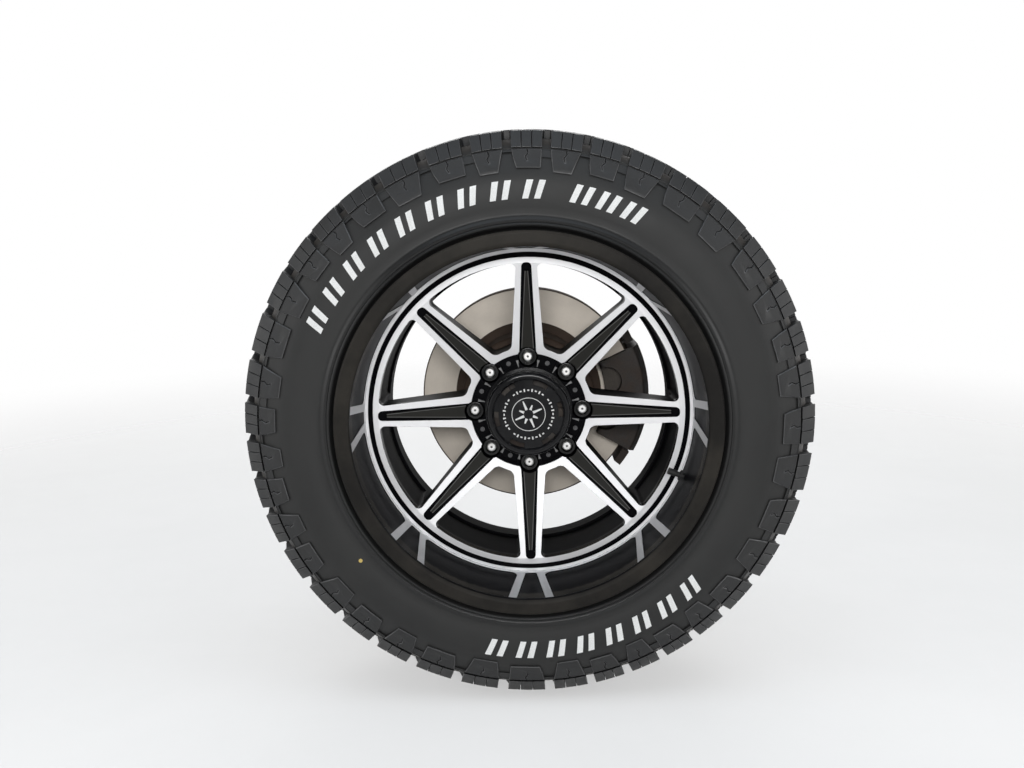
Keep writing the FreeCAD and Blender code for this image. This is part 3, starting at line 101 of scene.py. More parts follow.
WEB_TURN = math.radians(11.9)  # from a lug nut to the web beside it
WEB_STATIONS = ((0.0682, 0.0008), (0.0725, 0.0009), (0.0760, 0.0016), (0.0790, 0.0022))
WEB_SPAN = (-0.0005, 0.0009)  # foot and top of a web, outboard of the plate
WASHER = (0.0036, 16)  # radius and corners
WASHER_SPAN = (-0.0004, 0.0012)  # foot and top, outboard of the recess's floor
BOLT_HEAD = (0.0024, 6)
BOLT_HEAD_SPAN = (0.0010, 0.0030)
TRIM_ROUND = 0.0003  # the flat along the upper edges of the trim
CAP_FACE_OUT = 0.102
CAP_TRIM_SPAN = (-0.0004, 0.0010)  # foot and top of the ticks, outboard of the cap's face
CAP_TICKS = 40
CAP_TICK_GAPS = range(5, CAP_TICKS, 10)  # the places left free
CAP_TICK_ROUND = 0.0002
CAP_TICK_STATIONS = (((0.0357, 0.0016), (0.0378, 0.0017)), ((0.0345, 0.0010), (0.0390, 0.0012)))
CAP_BAR_FOOT = (0.0075, 0.0021)  # a bar's inner end and its half width there
CAP_BAR_REACH = (0.0150, 0.0215)  # short and long bars in turn
CAP_BAR_END_HALF = 0.0010
CAP_BAR_RISE = 0.0006  # the bars stand this much higher than the ticks
CAP_RING_R = (0.0246, 0.0255)
CAP_RING_STEPS = 64

# The sidewall and tread from the bead guard to the crown. Each station has its reach, which is the
# radius up to the parting line and the way along the surface after it, then the blocks' outer
# face and the rubber between them as (distance from the middle plane, radius), all in mm.
STATIONS = (
    (296.0, (158.6, 296.0), (157.9, 296.0)),
    (305.0, (160.6, 305.0), (159.9, 305.0)),
    (318.0, (161.9, 318.0), (161.2, 318.0)),
    (332.0, (161.8, 332.0), (161.1, 332.0)),
    (341.0, (161.0, 341.0), (160.2, 341.0)),
    (349.0, (159.7, 349.0), (157.9, 349.0)),
    (356.0, (157.8, 356.0), (155.0, 356.0)),
    (370.0, (152.4, 370.0), (148.0, 370.0)),
    (384.0, (147.0, 384.0), (141.0, 384.0)),
    (405.3, (133.0, 400.0), (131.0, 389.5)),
    (416.6, (125.0, 408.0), (121.0, 395.5)),
    (436.6, (105.0, 411.0), (104.0, 398.5)),
    (456.6, (85.0, 413.4), (85.0, 400.9)),
    (481.6, (60.0, 415.7), (60.0, 403.2)),
    (506.6, (35.0, 417.2), (35.0, 404.7)),
    (541.6, (0.0, 418.0), (0.0, 405.5)),
)

# The bead and the bead guard's ribs, outboard half, as (distance from the middle plane, radius).
BEAD_PROFILE = (
    (128.2, 255.4), (150.5, 260.8), (152.2, 262.6), (152.2, 272.0), (154.0, 275.5), (158.2, 278.0),
    (160.5, 279.6), (161.4, 281.3), (160.9, 283.0), (160.0, 283.9), (160.9, 284.9), (161.8, 286.8),
    (161.2, 288.9), (158.9, 291.4),
)

# The parting groove, between the side lugs and the shoulder blocks.
PARTING_PROFILE = ((142.4, 380.9), (141.2, 381.7), (140.2, 382.9), (140.4, 384.2))

# The inner liner, from the crown back to the bead's toe.
LINER_PROFILE = (
    (0.0, 394.0), (60.0, 392.5), (95.0, 389.5), (118.0, 383.5), (134.0, 372.0), (144.5, 354.0),
    (149.0, 332.0), (148.5, 308.0), (144.0, 286.0), (136.0, 268.0), (124.0, 257.0),
)

# The order of short, middle and long pitches round the tread, as the mould makes it.
PITCH_ORDER = "MLMSSMLMSSSSMLLLMSMLLLLMSSSSMLLLMMLMSSSS"
PITCH_SIZES = {"S": 8.02, "M": 9.07, "L": 10.07}
FIRST_BLOCK_ANGLE = math.radians(-83.1)

# Edges of the blocks as (share of the pitch, reach): a shoulder block's left edge from the pitch's
# start and its right edge from the groove, then both edges of each row of inner blocks.
SHOULDER_LEFT = ((0.0, 384.7), (0.0, 416.6), (0.05, 431.0), (0.05, 449.0))
SHOULDER_RIGHT = ((0.0, 384.7), (0.0, 416.6), (-0.02, 436.0), (0.05, 452.0))
TREAD_ROWS = (
    (((0.50, 456.5), (0.38, 477.0), (0.52, 497.0)), ((1.22, 456.5), (1.12, 477.0), (1.24, 497.0))),
    (((0.08, 503.0), (0.20, 520.0), (0.10, 538.0)), ((0.72, 503.0), (0.88, 520.0), (0.76, 538.0))),
)
BLOCK_RIBS = 3
BLOCK_HEIGHT = 10.0

# How far the raised pieces reach into the rubber under them, in shares of a block's height, and
# how high the low ones stand.
SHOULDER_ROOT_SHARE = -0.15
TREAD_ROOT_SHARE = -0.1
LUG_ROOT_SHARE = -0.3
MARK_ROOT_SHARE = -0.6
SHELF_TOP_SHARE = 0.38
DOT_TOP_SHARE = 0.35

# The side lugs, long and short in turn, in mm: arcs and reaches.
LUG_TOP = 382.2
LUG_BEND = 369.0
LUG_FEET = ((351.5, 9.0), (356.5, 0.5))  # a foot's reach, and how far its far corner is drawn in
LUG_SLANT = 6.0
LUG_BEND_SHARES = (0.35, 0.55)  # where the two sides bend, between top and foot
LUG_HEIGHT = 4.5
LUG_ROUND_SHARE = 1.8  # a lug's bevelled edges, whose lighter rubber is a painted highlight, against a block's
LUG_CUT_WIDTH = 0.9
LUG_CUT = ((0.0, LUG_TOP), (1.6, 376.5), (-2.2, 371.5), (0.0, 366.0))
SHELF_TOP = 380.0  # low shelves fill the gaps between lugs
SHELF_FEET = (378.6, 371.0)
SHELF_OVERLAP = (2.0, 3.0)

# The raised white marks: pairs of slanted bars, at angles clockwise from the top.
MARK_ANGLES = (
    [-61.5 + 7.95 * place for place in range(9)]
    + [13.6, 20.0, 26.4]
    + [136.0 + 7.55 * place for place in range(8)]
)
MARK_SHIFT = 1.45  # from a pair's middle to each bar, degrees
MARK_HALF = 5.2
MARK_LEAN = 4.0
MARK_REACH = (315.5, 340.5)

# The dot of paint: its angle, then its reach and half sizes in mm.
DOT_ANGLE = math.radians(-128.0)
DOT_REACH = 309.0
DOT_SIZE = (3.6, 2.8)
DOT_CORNERS = 18

# Radii in m between which the rubber changes: bead band to sidewall, and sidewall to grooves.
BEAD_BAND_R = (0.292, 0.297)
GROOVE_R = (0.384, 0.392)

# Finishes of the plain CAD nodes: material, colour, stain or None for rust, roughness, and what else
# mottled_material takes.
IRON = (0.055, 0.050, 0.047)
FINISHES = {
    "centre_cap": ("cap_gloss_black", (0.005, 0.005, 0.006), (0.009, 0.009, 0.010), 0.10,
                   {"scale": 900.0, "mottle": 20.0, "depth": 0.00002, "edge": 0.0006, "gloss": 0.35}),
    "lug_nuts": ("nut_gloss_black", (0.004, 0.004, 0.004), (0.010, 0.010, 0.010), 0.10,
                 {"scale": 800.0, "mottle": 60.0, "depth": 0.00003, "edge": 0.0005}),
    "hub": ("hub_iron", IRON, None, 0.62, {"metallic": 0.3, "scale": 350.0, "mottle": 24.0}),
    "wheel_bearings": ("bearing_steel", (0.55, 0.54, 0.53), (0.45, 0.44, 0.42), 0.22, {"metallic": 1.0}),
    "axle_shaft": ("shaft_steel", IRON, None, 0.48, {"metallic": 0.6}),
    "shaft_bolts": ("bolt_steel", (0.060, 0.056, 0.052), None, 0.42, {"metallic": 0.6}),
    "valve_stem": ("valve_rubber", (0.012, 0.012, 0.012), (0.020, 0.020, 0.020), 0.55, {}),
    "valve_cap": ("valve_cap_plastic", (0.010, 0.010, 0.010), (0.016, 0.016, 0.016), 0.42, {}),
    "dust_shield": ("shield_zinc", (0.20, 0.20, 0.20), (0.13, 0.11, 0.09), 0.48, {"metallic": 0.8}),
    "shield_bolts": ("shield_bolt_zinc", (0.45, 0.43, 0.38), (0.30, 0.24, 0.16), 0.36, {"metallic": 0.9}),
    "caliper_bracket": ("bracket_iron", IRON, None, 0.60, {"metallic": 0.35, "scale": 420.0}),
    "bracket_bolts": ("bracket_bolt_steel", (0.32, 0.30, 0.27), (0.22, 0.15, 0.09), 0.40, {"metallic": 0.9}),
    "caliper_body": ("caliper_iron", (0.040, 0.038, 0.037), (0.085, 0.060, 0.045), 0.55,
                     {"metallic": 0.35, "scale": 380.0, "mottle": 26.0}),
    "brake_pads": ("pad_lining", (0.060, 0.055, 0.052), (0.110, 0.095, 0.080), 0.85, {"scale": 500.0}),
    "guide_pins": ("pin_steel", (0.48, 0.46, 0.42), (0.34, 0.28, 0.20), 0.30, {"metallic": 0.95}),
    "pin_boots": ("boot_rubber", (0.014, 0.014, 0.014), (0.030, 0.028, 0.026), 0.62, {}),
    "bleed_screw": ("bleed_brass", (0.55, 0.40, 0.16), (0.34, 0.25, 0.12), 0.34, {"metallic": 0.95}),
}
PAINTED_AXLE = ("axle_tube", "brake_flange", "spring_perch", "shock_bracket")

# Materials of the small pieces that are added here, in the same way.
TRIM_FINISHES = (
    ("web_satin", (0.26, 0.26, 0.26), (0.16, 0.16, 0.16), 0.34,
     {"metallic": 0.6, "scale": 900.0, "mottle": 120.0, "depth": 0.00004, "edge": 0.0004}),
    ("plate_bolt_black", (0.130, 0.130, 0.134), (0.070, 0.070, 0.072), 0.32,
     {"metallic": 0.5, "scale": 900.0, "mottle": 120.0, "depth": 0.00004, "edge": 0.0004}),
    ("cap_silver", (0.86, 0.86, 0.85), (0.72, 0.72, 0.70), 0.36,
     {"metallic": 0.35, "scale": 900.0, "mottle": 90.0, "depth": 0.00003, "edge": 0.0003}),
    ("balance_paint", (0.62, 0.46, 0.13), (0.50, 0.36, 0.10), 0.50,
     {"scale": 900.0, "mottle": 160.0, "depth": 0.00005}),
)

# The floor: half its side, and the ways from the middle between which it fades out.
FLOOR_HALF = 4.0
FLOOR_FADE = (0.8, 3.4)
FLOOR_ALPHA = 0.55

# The lamps: place, what they point at, size in m, power in W and colour.
WHITE = (1.0, 1.0, 1.0)
LAMPS = {
    "overhead_box": ((0.1, -1.3, 2.6), (0.0, -0.45, 0.0), (3.4, 2.0), 34.0, (0.80, 0.90, 1.0)),
    "front_box": ((0.0, -3.3, 0.74), (0.0, -0.5, 0.0), (1.2, 0.5), 38.0, WHITE),
    "left_box": ((-2.6, -1.2, 0.9), (0.0, -0.5, 0.0), (1.6, 1.6), 20.0, WHITE),
    "right_box": ((2.6, -1.2, 0.9), (0.0, -0.5, 0.0), (1.6, 1.6), 22.0, WHITE),
    "rear_box": ((0.0, 2.4, 1.5), (0.0, -0.3, 0.0), (2.6, 1.4), 40.0, WHITE),
}


# Colours and sizes for a user


def colour(name, description, default):
    """A colour that a user can change."""
    return FloatVectorProperty(name=name, description=description, default=default, subtype="COLOR")


def number(name, description, default, **kind):
    """A number that a user can change."""
    return FloatProperty(name=name, description=description, default=default, **kind)


class WheelEndTyre(bpy.types.PropertyGroup):
    """Sizes and colours of the tyre."""

    groove_share: number("Groove share", "Part of each pitch that is groove", 0.225, subtype="FACTOR")
    sipe_width: number("Sipe width", "Width of the fine cuts in a block", 0.0011, unit="LENGTH")
    # this worn edge is the bevel, whose lighter rubber is a painted highlight
    edge_round: number("Edge round", "Width of the worn edge of a block", 0.0007, unit="LENGTH")
    steps_round: IntProperty(
        name="Steps round", description="Segments of the carcass round the axle", default=180, min=48
    )
    rubber: colour("Rubber", "Colour of the rubber", (0.015, 0.015, 0.0148))
    groove_rubber: colour("Groove rubber", "Rubber in the grooves", (0.034, 0.028, 0.023))
    marks: colour("Marks", "Colour of the raised marks", (0.86, 0.87, 0.86))


class WheelEndMetal(bpy.types.PropertyGroup):
    """Colours of the wheel, the brake and the axle."""

    paint: colour("Wheel paint", "Gloss black of the wheel", (0.004, 0.004, 0.005))
    insert: colour("Spoke insert", "Satin paint of the inserts", (0.030, 0.0295, 0.027))
    machined: colour("Machined alloy", "Turned faces of the wheel", (0.80, 0.80, 0.81))
    disc: colour("Disc iron", "Swept faces of the disc", (0.86, 0.79, 0.70))
    rust: colour("Rust", "Rust on bare iron", (0.055, 0.035, 0.024))
    axle: colour("Axle paint", "Chassis paint of the axle", (0.020, 0.020, 0.021))


class WheelEndStage(bpy.types.PropertyGroup):
    """The floor and the camera."""

    floor: colour("Floor", "Colour of the floor", (0.82, 0.82, 0.82))
    lens: number("Lens", "Focal length on a 36 mm wide sensor", 33.93)
    camera_place: FloatVectorProperty(
        name="Camera place", description="Where the camera stands", default=(0.006, -1.975, 0.278),
        unit="LENGTH",
    )
    pitch: number("Pitch", "How far the camera looks down", math.radians(9.24), subtype="ANGLE")
    yaw: number("Yaw", "How far the camera turns left", math.radians(1.21), subtype="ANGLE")
    roll: number("Roll", "How far the camera tilts", math.radians(-1.05), subtype="ANGLE")


# Meshes


def lerp(a, b, share):
    """The value that lies share of the way from a to b."""
    return a + (b - a) * share


def everything(bm):
    """All of a bmesh, for an operator."""
    return bm.verts[:] + bm.edges[:] + bm.faces[:]


def vertices_in(geometry):
    """The vertices among what an operator gave back."""
    return [item for item in geometry if isinstance(item, bmesh.types.BMVert)]


def station_at(reach):
    """The blocks' outer point and the groove's point of the tyre at a reach, each (across, radius)."""
    for low, high in zip(STATIONS, STATIONS[1:]):
        if reach <= high[0]:
            break
    share = (reach - low[0]) / (high[0] - low[0])
    top = tuple(lerp(a, b, share) for a, b in zip(low[1], high[1]))
    floor = tuple(lerp(a, b, share) for a, b in zip(low[2], high[2]))
    return top, floor


def tyre_point(angle, reach, height, side):
    """A point of the tyre: height 0 is the groove's floor, 1 is a block's face, side 1 is outboard."""
    crown = STATIONS[-1][0]
    mirrored = -1.0 if reach > crown else 1.0
    top, floor = station_at(crown - abs(reach - crown))
    across = lerp(floor[0], top[0], height) * mirrored
    radius = lerp(floor[1], top[1], height)
    return Vector((
        radius * math.sin(angle) * MM,
        TYRE_MID_Y - side * across * MM,
        radius * math.cos(angle) * MM,
    ))


def outboard_of(base, span):
    """The foot and the top of a piece that stands on a base, as ways outboard."""
    return [base + part for part in span]


def wheel_point(angle, radius, out):
    """A point at an angle clockwise from the top, a radius and a way outboard of the bolting face."""
    return Vector((radius * math.sin(angle), FACE_Y - out, radius * math.cos(angle)))


def bevel(bm, edges, width):
    """Cuts edges off flat and gives back the new faces."""
    return bmesh.ops.bevel(
        bm, geom=edges, offset=width, offset_type="OFFSET", affect="EDGES", segments=1, profile=0.5,
        material=-1,
    )["faces"]


def raise_outline(bm, outline, low, high, edge_round=0.0):
    """Adds a solid whose outline is (angle, radius) points, from one way outboard to another."""
    base = bm.faces.new([bm.verts.new(wheel_point(angle, radius, low)) for angle, radius in outline])
    lifted = bmesh.ops.extrude_face_region(bm, geom=[base])["geom"]
    bmesh.ops.translate(bm, verts=vertices_in(lifted), vec=(0.0, low - high, 0.0))
    if edge_round:
        bevel(bm, [item for item in lifted if isinstance(item, bmesh.types.BMEdge)], edge_round)


def bar_outline(angle, stations):
    """The outline of a bar along a spoke's line, from its stations (radius, half width)."""
    left = [(angle - half / radius, radius) for radius, half in stations]
    right = [(angle + half / radius, radius) for radius, half in stations]
    return left + right[::-1]


def round_outline(angle, radius, size, corners):
    """The outline of a round or many-sided boss at a place on the wheel's face."""
    outline = []
    for corner in range(corners):
        turn = FULL_TURN * corner / corners
        along = radius + size * math.cos(turn)
        across = size * math.sin(turn)
        outline.append((angle + math.atan2(across, along), math.hypot(along, across)))
    return outline


def spin_profile(bm, points, steps, closed=False):
    """Spins an open or closed chain of points once round the axle."""
    verts = [bm.verts.new(point) for point in points]
    pairs = zip(verts, verts[1:] + verts[:1]) if closed else zip(verts, verts[1:])
    edges = [bm.edges.new(pair) for pair in pairs]
    bmesh.ops.spin(
        bm, geom=verts + edges, cent=(0.0, 0.0, 0.0), axis=(0.0, 1.0, 0.0), dvec=(0.0, 0.0, 0.0),
        angle=FULL_TURN, steps=steps, use_merge=True,
    )
    bmesh.ops.remove_doubles(bm, verts=bm.verts, dist=SPUN_SEAM)


def soften(bm):
    """Shades a mesh smooth, with its sharp edges left crisp."""
    for face in bm.faces:
        face.smooth = True
    for edge in bm.edges:
        if len(edge.link_faces) == 2:
            edge.smooth = edge.calc_face_angle(0.0) < CRISP_ANGLE


def make_piece(name, bm, materials, slot, body, *replaced):
    """Turns a bmesh, with its materials in order, into a piece of the model that rides on a body."""
    bmesh.ops.remove_doubles(bm, verts=bm.verts, dist=SAME_POINT)
    bmesh.ops.recalc_face_normals(bm, faces=bm.faces)
    soften(bm)
    mesh = bpy.data.meshes.new(name)
    bm.to_mesh(mesh)
    bm.free()
    for material in materials:
        mesh.materials.append(material)
    piece = bpy.data.objects.new(name, mesh)
    bpy.context.scene.collection.objects.link(piece)
    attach(piece, body)
    if replaced:
        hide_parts(*replaced)


def flat_face(bm, outline):
    """Adds one flat face whose corners are (arc, reach) in mm."""
    bm.faces.new([bm.verts.new((arc, reach, 0.0)) for arc, reach in outline])


def edge_line(start, length, stations):
    """A block's edge from its stations, each (share of the pitch, reach)."""
    return [(start + share * length, reach) for share, reach in stations]


def ribbed_block(bm, left, right, gap):
    """Adds a block as ribs side by side between a left and a right edge, each a line of points."""
    for rib in range(BLOCK_RIBS):
        start = rib / BLOCK_RIBS
        end = (rib + 1) / BLOCK_RIBS
        inner_left = gap / 2 if rib else 0.0
        inner_right = gap / 2 if rib < BLOCK_RIBS - 1 else 0.0
        near = [(lerp(a[0], b[0], start) + inner_left, lerp(a[1], b[1], start)) for a, b in zip(left, right)]
        far = [(lerp(a[0], b[0], end) - inner_right, lerp(a[1], b[1], end)) for a, b in zip(left, right)]
        flat_face(bm, near + far[::-1])


def raise_blocks(bm, low, high, edge_round=0.0, stretch=BLOCK_HEIGHT):
    """Gives flat faces their height, from low to high in shares of a block's height of stretch mm."""
    for vert in bm.verts:
        vert.co.z = low
    lifted = bmesh.ops.extrude_face_region(bm, geom=bm.faces[:])["geom"]
    bmesh.ops.translate(bm, verts=vertices_in(lifted), vec=(0.0, 0.0, high - low))
    for station in STATIONS:
        bmesh.ops.bisect_plane(
            bm, geom=everything(bm), plane_co=(0.0, station[0], 0.0), plane_no=(0.0, 1.0, 0.0)
        )
    bmesh.ops.recalc_face_normals(bm, faces=bm.faces)
    if not edge_round:
        return
    rims = [
        edge
        for edge in bm.edges
        if len(edge.link_faces) == 2
        and max(face.normal.z for face in edge.link_faces) > 0.9
        and min(face.normal.z for face in edge.link_faces) < 0.5
    ]
    # a block's height is 1 while it is flat, so it is stretched for the bevel
    bmesh.ops.scale(bm, verts=bm.verts, vec=(1.0, 1.0, stretch))
    # the bevels take the second material, lighter rubber that paints a highlight along the edges
    for face in bevel(bm, rims, edge_round):
        face.material_index = 1
    bmesh.ops.scale(bm, verts=bm.verts, vec=(1.0, 1.0, 1.0 / stretch))


def wrap_on_tyre(bm, inboard=frozenset()):
    """Lays flat blocks on the tyre's outboard side, and those whose vertices are inboard on the other."""
    for vert in bm.verts:
        arc, reach, height = vert.co
        angle = arc / WRAP_R
        if vert in inboard:
            vert.co = tyre_point(angle + INBOARD_TURN, reach, height, -1.0)
        else:
            vert.co = tyre_point(angle, reach, height, 1.0)


def wrap_both_sides(bm):
    """Lays flat blocks on the tyre's outboard side and a turned copy of them on its inboard side."""
    copied = bmesh.ops.duplicate(bm, geom=everything(bm))["geom"]
    wrap_on_tyre(bm, set(vertices_in(copied)))


def pitches():
    """The blocks round the tread as (start, length of the pitch), in mm at the wrapping radius."""
    total = sum(PITCH_SIZES[size] for size in PITCH_ORDER)
    arc_per_size = FULL_TURN * WRAP_R / total
    start = FIRST_BLOCK_ANGLE * WRAP_R
    found = []
    for size in PITCH_ORDER:
        length = PITCH_SIZES[size] * arc_per_size
        found.append((start, length))
        start += length
    return found


# Materials


class Shading:
    """A material's or group's nodes, with short ways to add and join them."""

    def __init__(self, tree):
        self.tree = tree

    def node(self, kind, **inputs):
        """Adds a node and sets or joins its inputs, named with _ for each space."""
        added = self.tree.nodes.new(kind)
        for name, value in inputs.items():
            self.put(added.inputs[name.replace("_", " ")], value)
        return added

    def put(self, socket, value):
        """Joins a socket to an output, or sets its value."""
        if isinstance(value, bpy.types.NodeSocket):
            self.tree.links.new(value, socket)
        else:
            socket.default_value = value

    def math(self, operation, *values, clamp=False):
        """The result of a Math node."""
        added = self.tree.nodes.new("ShaderNodeMath")
        added.operation = operation
        added.use_clamp = clamp
        for socket, value in zip(added.inputs, values):
            self.put(socket, value)
        return added.outputs[0]

    def times(self, a, b):
        """Two values multiplied."""
        return self.math("MULTIPLY", a, b)

    def mix(self, share, a, b):
        """The colour that lies share of the way from a to b."""
        added = self.tree.nodes.new("ShaderNodeMix")
        added.data_type = "RGBA"
        self.put(added.inputs["Factor"], share)
        self.put(added.inputs[6], a)
        self.put(added.inputs[7], b)
        return added.outputs[2]

    def range(self, value, low, high, to_low=0.0, to_high=1.0, smooth=False):
        """A value carried from one range to another and kept inside it."""
        added = self.tree.nodes.new("ShaderNodeMapRange")
        added.interpolation_type = "SMOOTHSTEP" if smooth else "LINEAR"
        for name, given in (
            ("Value", value), ("From Min", low), ("From Max", high), ("To Min", to_low), ("To Max", to_high),
        ):
            self.put(added.inputs[name], given)
        return added.outputs["Result"]

    def band(self, value, low, high, blur=0.0001):
        """1 where a value lies between low and high, else 0."""
        rising = self.range(value, low - blur, low + blur)
        falling = self.range(value, high - blur, high + blur, 1.0, 0.0)
        return self.times(rising, falling)

    def length(self, a, b):
        """The length of the longest side of a right-angled triangle with the sides a and b."""
        squares = self.math("ADD", self.times(a, a), self.times(b, b))
        return self.math("SQRT", squares)

    def group(self, name, **inputs):
        """Adds a shared node group and gives its outputs."""
        added = self.tree.nodes.new("ShaderNodeGroup")
        added.node_tree = bpy.data.node_groups[name]
        for socket, value in inputs.items():
            self.put(added.inputs[socket.replace("_", " ")], value)
        return added.outputs

    def axes(self, place):
        """The three parts of a place."""
        split = self.node("ShaderNodeSeparateXYZ", Vector=place)
        return [split.outputs[axis] for axis in "XYZ"]

    def object_place(self):
        """The Object coordinates."""
        return self.node("ShaderNodeTexCoord").outputs["Object"]


def rgba(tone):
    """A colour with its alpha."""
    return (*tone, 1.0)


def new_group(name, inputs, outputs):
    """An empty node group with named float inputs (name, default) and named outputs."""
    tree = bpy.data.node_groups.new(name, "ShaderNodeTree")
    for label, default in inputs:
        socket = tree.interface.new_socket(label, in_out="INPUT", socket_type="NodeSocketFloat")
        socket.default_value = default
    for label in outputs:
        tree.interface.new_socket(label, in_out="OUTPUT", socket_type="NodeSocketFloat")
    given = tree.nodes.new("NodeGroupInput").outputs
    return Shading(tree), given, tree.nodes.new("NodeGroupOutput").inputs


def make_grain_group():
    """Grain: a fine surface grain, a coarse mottle and their height."""
    nodes, given, result = new_group(
        "grain", (("Scale", 300.0), ("Mottle Scale", 14.0)), ("Fine", "Mottle", "Height")
    )
    place = nodes.object_place()
    fine = nodes.node("ShaderNodeTexNoise", Vector=place, Scale=given["Scale"], Detail=4.0, Roughness=0.6)
    mottle = nodes.node(
        "ShaderNodeTexNoise", Vector=place, Scale=given["Mottle Scale"], Detail=6.0, Roughness=0.62
    )
    coarse = nodes.range(mottle.outputs["Fac"], 0.32, 0.68, smooth=True)
    nodes.put(result["Fine"], fine.outputs["Fac"])
    nodes.put(result["Mottle"], coarse)
    nodes.put(result["Height"], nodes.math("ADD", fine.outputs["Fac"], nodes.times(coarse, 0.6)))


def make_wheel_place_group():
    """Wheel place: radius, way outboard, ways from the nearest lug and spoke line, a lathe's rings."""
    nodes, given, result = new_group(
        "wheel_place", (("Ring Scale", 900.0),), ("Radius", "Out", "Lug", "Across", "Rings")
    )
    x, y, z = nodes.axes(nodes.object_place())
    radius = nodes.length(x, z)
    place = nodes.node("ShaderNodeCombineXYZ", X=nodes.times(radius, given["Ring Scale"]))
    rings = nodes.node(
        "ShaderNodeTexNoise", Vector=place.outputs[0], Scale=1.0, Detail=3.0, Roughness=0.7
    )
    angle = nodes.math("ARCTAN2", x, z)
    nearest = nodes.math("ROUND", nodes.math("DIVIDE", angle, LUG_TURN))
    from_lug = nodes.math("SUBTRACT", angle, nodes.times(nearest, LUG_TURN))
    along = nodes.math("SUBTRACT", nodes.times(radius, nodes.math("COSINE", from_lug)), LUG_CIRCLE)
    across = nodes.times(radius, nodes.math("SINE", from_lug))
    nodes.put(result["Radius"], radius)
    nodes.put(result["Out"], nodes.math("SUBTRACT", FACE_Y, y))
    nodes.put(result["Lug"], nodes.length(along, across))
    nodes.put(result["Across"], nodes.math("ABSOLUTE", across))
    nodes.put(result["Rings"], rings.outputs["Fac"])


def new_material(name):
    """An empty material, as its nodes and its Principled shader's inputs."""
    material = bpy.data.materials.new(name)
    material.use_nodes = True
    return material, Shading(material.node_tree), material.node_tree.nodes["Principled BSDF"].inputs


def bump(nodes, surface, height, strength, distance, edge=0.0):
    """Feeds a height to a shader's normal, with sharp edges rounded by a radius."""
    node = nodes.node("ShaderNodeBump", Height=height, Strength=strength, Distance=distance)
    if edge:
        rounded = nodes.node("ShaderNodeBevel", Radius=edge)
        rounded.samples = 3
        nodes.put(node.inputs["Normal"], rounded.outputs["Normal"])
    nodes.put(surface["Normal"], node.outputs["Normal"])


def mottled_material(
    name, base, stain, roughness, metallic=0.0, scale=300.0, mottle=14.0, stain_share=0.6, depth=0.0004,
    edge=0.0, gloss=0.5,
):
    """A material whose colour and gloss vary in patches, with a fine grain in its surface."""
    material, nodes, surface = new_material(name)
    grain = nodes.group("grain", Scale=scale, Mottle_Scale=mottle)
    share = nodes.times(grain["Mottle"], stain_share)
    speckle = nodes.range(grain["Fine"], 0.35, 0.65, 0.82, 1.0)
    spread = nodes.node("ShaderNodeCombineXYZ", X=speckle, Y=speckle, Z=speckle)
    shaded = nodes.node("ShaderNodeVectorMath")
    shaded.operation = "MULTIPLY"
    nodes.put(shaded.inputs[0], nodes.mix(share, rgba(base), rgba(stain)))
    nodes.put(shaded.inputs[1], spread.outputs[0])
    nodes.put(surface["Base Color"], shaded.outputs[0])
    dull = nodes.range(grain["Mottle"], 0.0, 1.0, roughness, min(1.0, roughness + 0.18))
    nodes.put(surface["Roughness"], dull)
    nodes.put(surface["Metallic"], metallic)
    nodes.put(surface["Specular IOR Level"], gloss)
    bump(nodes, surface, grain["Height"], 0.5, depth, edge)
    return material


def rubber_material(look):
    """Tyre rubber: satin sidewall, a glossier bead band and browner grooves."""
    material, nodes, surface = new_material("tyre_rubber")
    grain = nodes.group("grain", Scale=900.0, Mottle_Scale=9.0)
    place = nodes.group("wheel_place", Ring_Scale=420.0)
    bead = nodes.range(place["Radius"], *BEAD_BAND_R, 1.0, 0.0, smooth=True)
    groove = nodes.range(place["Radius"], *GROOVE_R, smooth=True)
    dusty = nodes.times(grain["Mottle"], 0.5)
    body = nodes.mix(dusty, rgba(look.rubber), (0.024, 0.024, 0.023, 1.0))
    grooved = nodes.mix(nodes.times(groove, 0.8), body, rgba(look.groove_rubber))
    nodes.put(surface["Base Color"], nodes.mix(bead, grooved, (0.010, 0.010, 0.010, 1.0)))
    dull = nodes.range(grain["Mottle"], 0.0, 1.0, 0.50, 0.62)
    nodes.put(surface["Roughness"], nodes.math("SUBTRACT", dull, nodes.times(bead, 0.22)))
    nodes.put(surface["Specular IOR Level"], 0.35)
    height = nodes.math("ADD", grain["Fine"], nodes.times(place["Rings"], 0.35))
    bump(nodes, surface, height, 0.35, 0.0003)
    return material


def block_materials(look):
    """Rubber of the lugs and blocks, drier than the sidewall, and the lighter rubber of their bevelled
    edges, a painted highlight, made once.
    """
    if "block_rubber" not in bpy.data.materials:
        mottled_material(
            "block_rubber", look.rubber, (0.028, 0.029, 0.031), 0.46, scale=1100.0, mottle=22.0,
            stain_share=0.5, depth=0.0003, gloss=0.4,
        )
        # the edges' lighter rubber is a painted highlight
        mottled_material(
            "block_edge_highlight_rubber", (0.070, 0.070, 0.072), (0.025, 0.025, 0.026), 0.34, scale=1100.0,
            mottle=60.0, stain_share=0.8, depth=0.0002,
        )
    return [bpy.data.materials["block_rubber"], bpy.data.materials["block_edge_highlight_rubber"]]


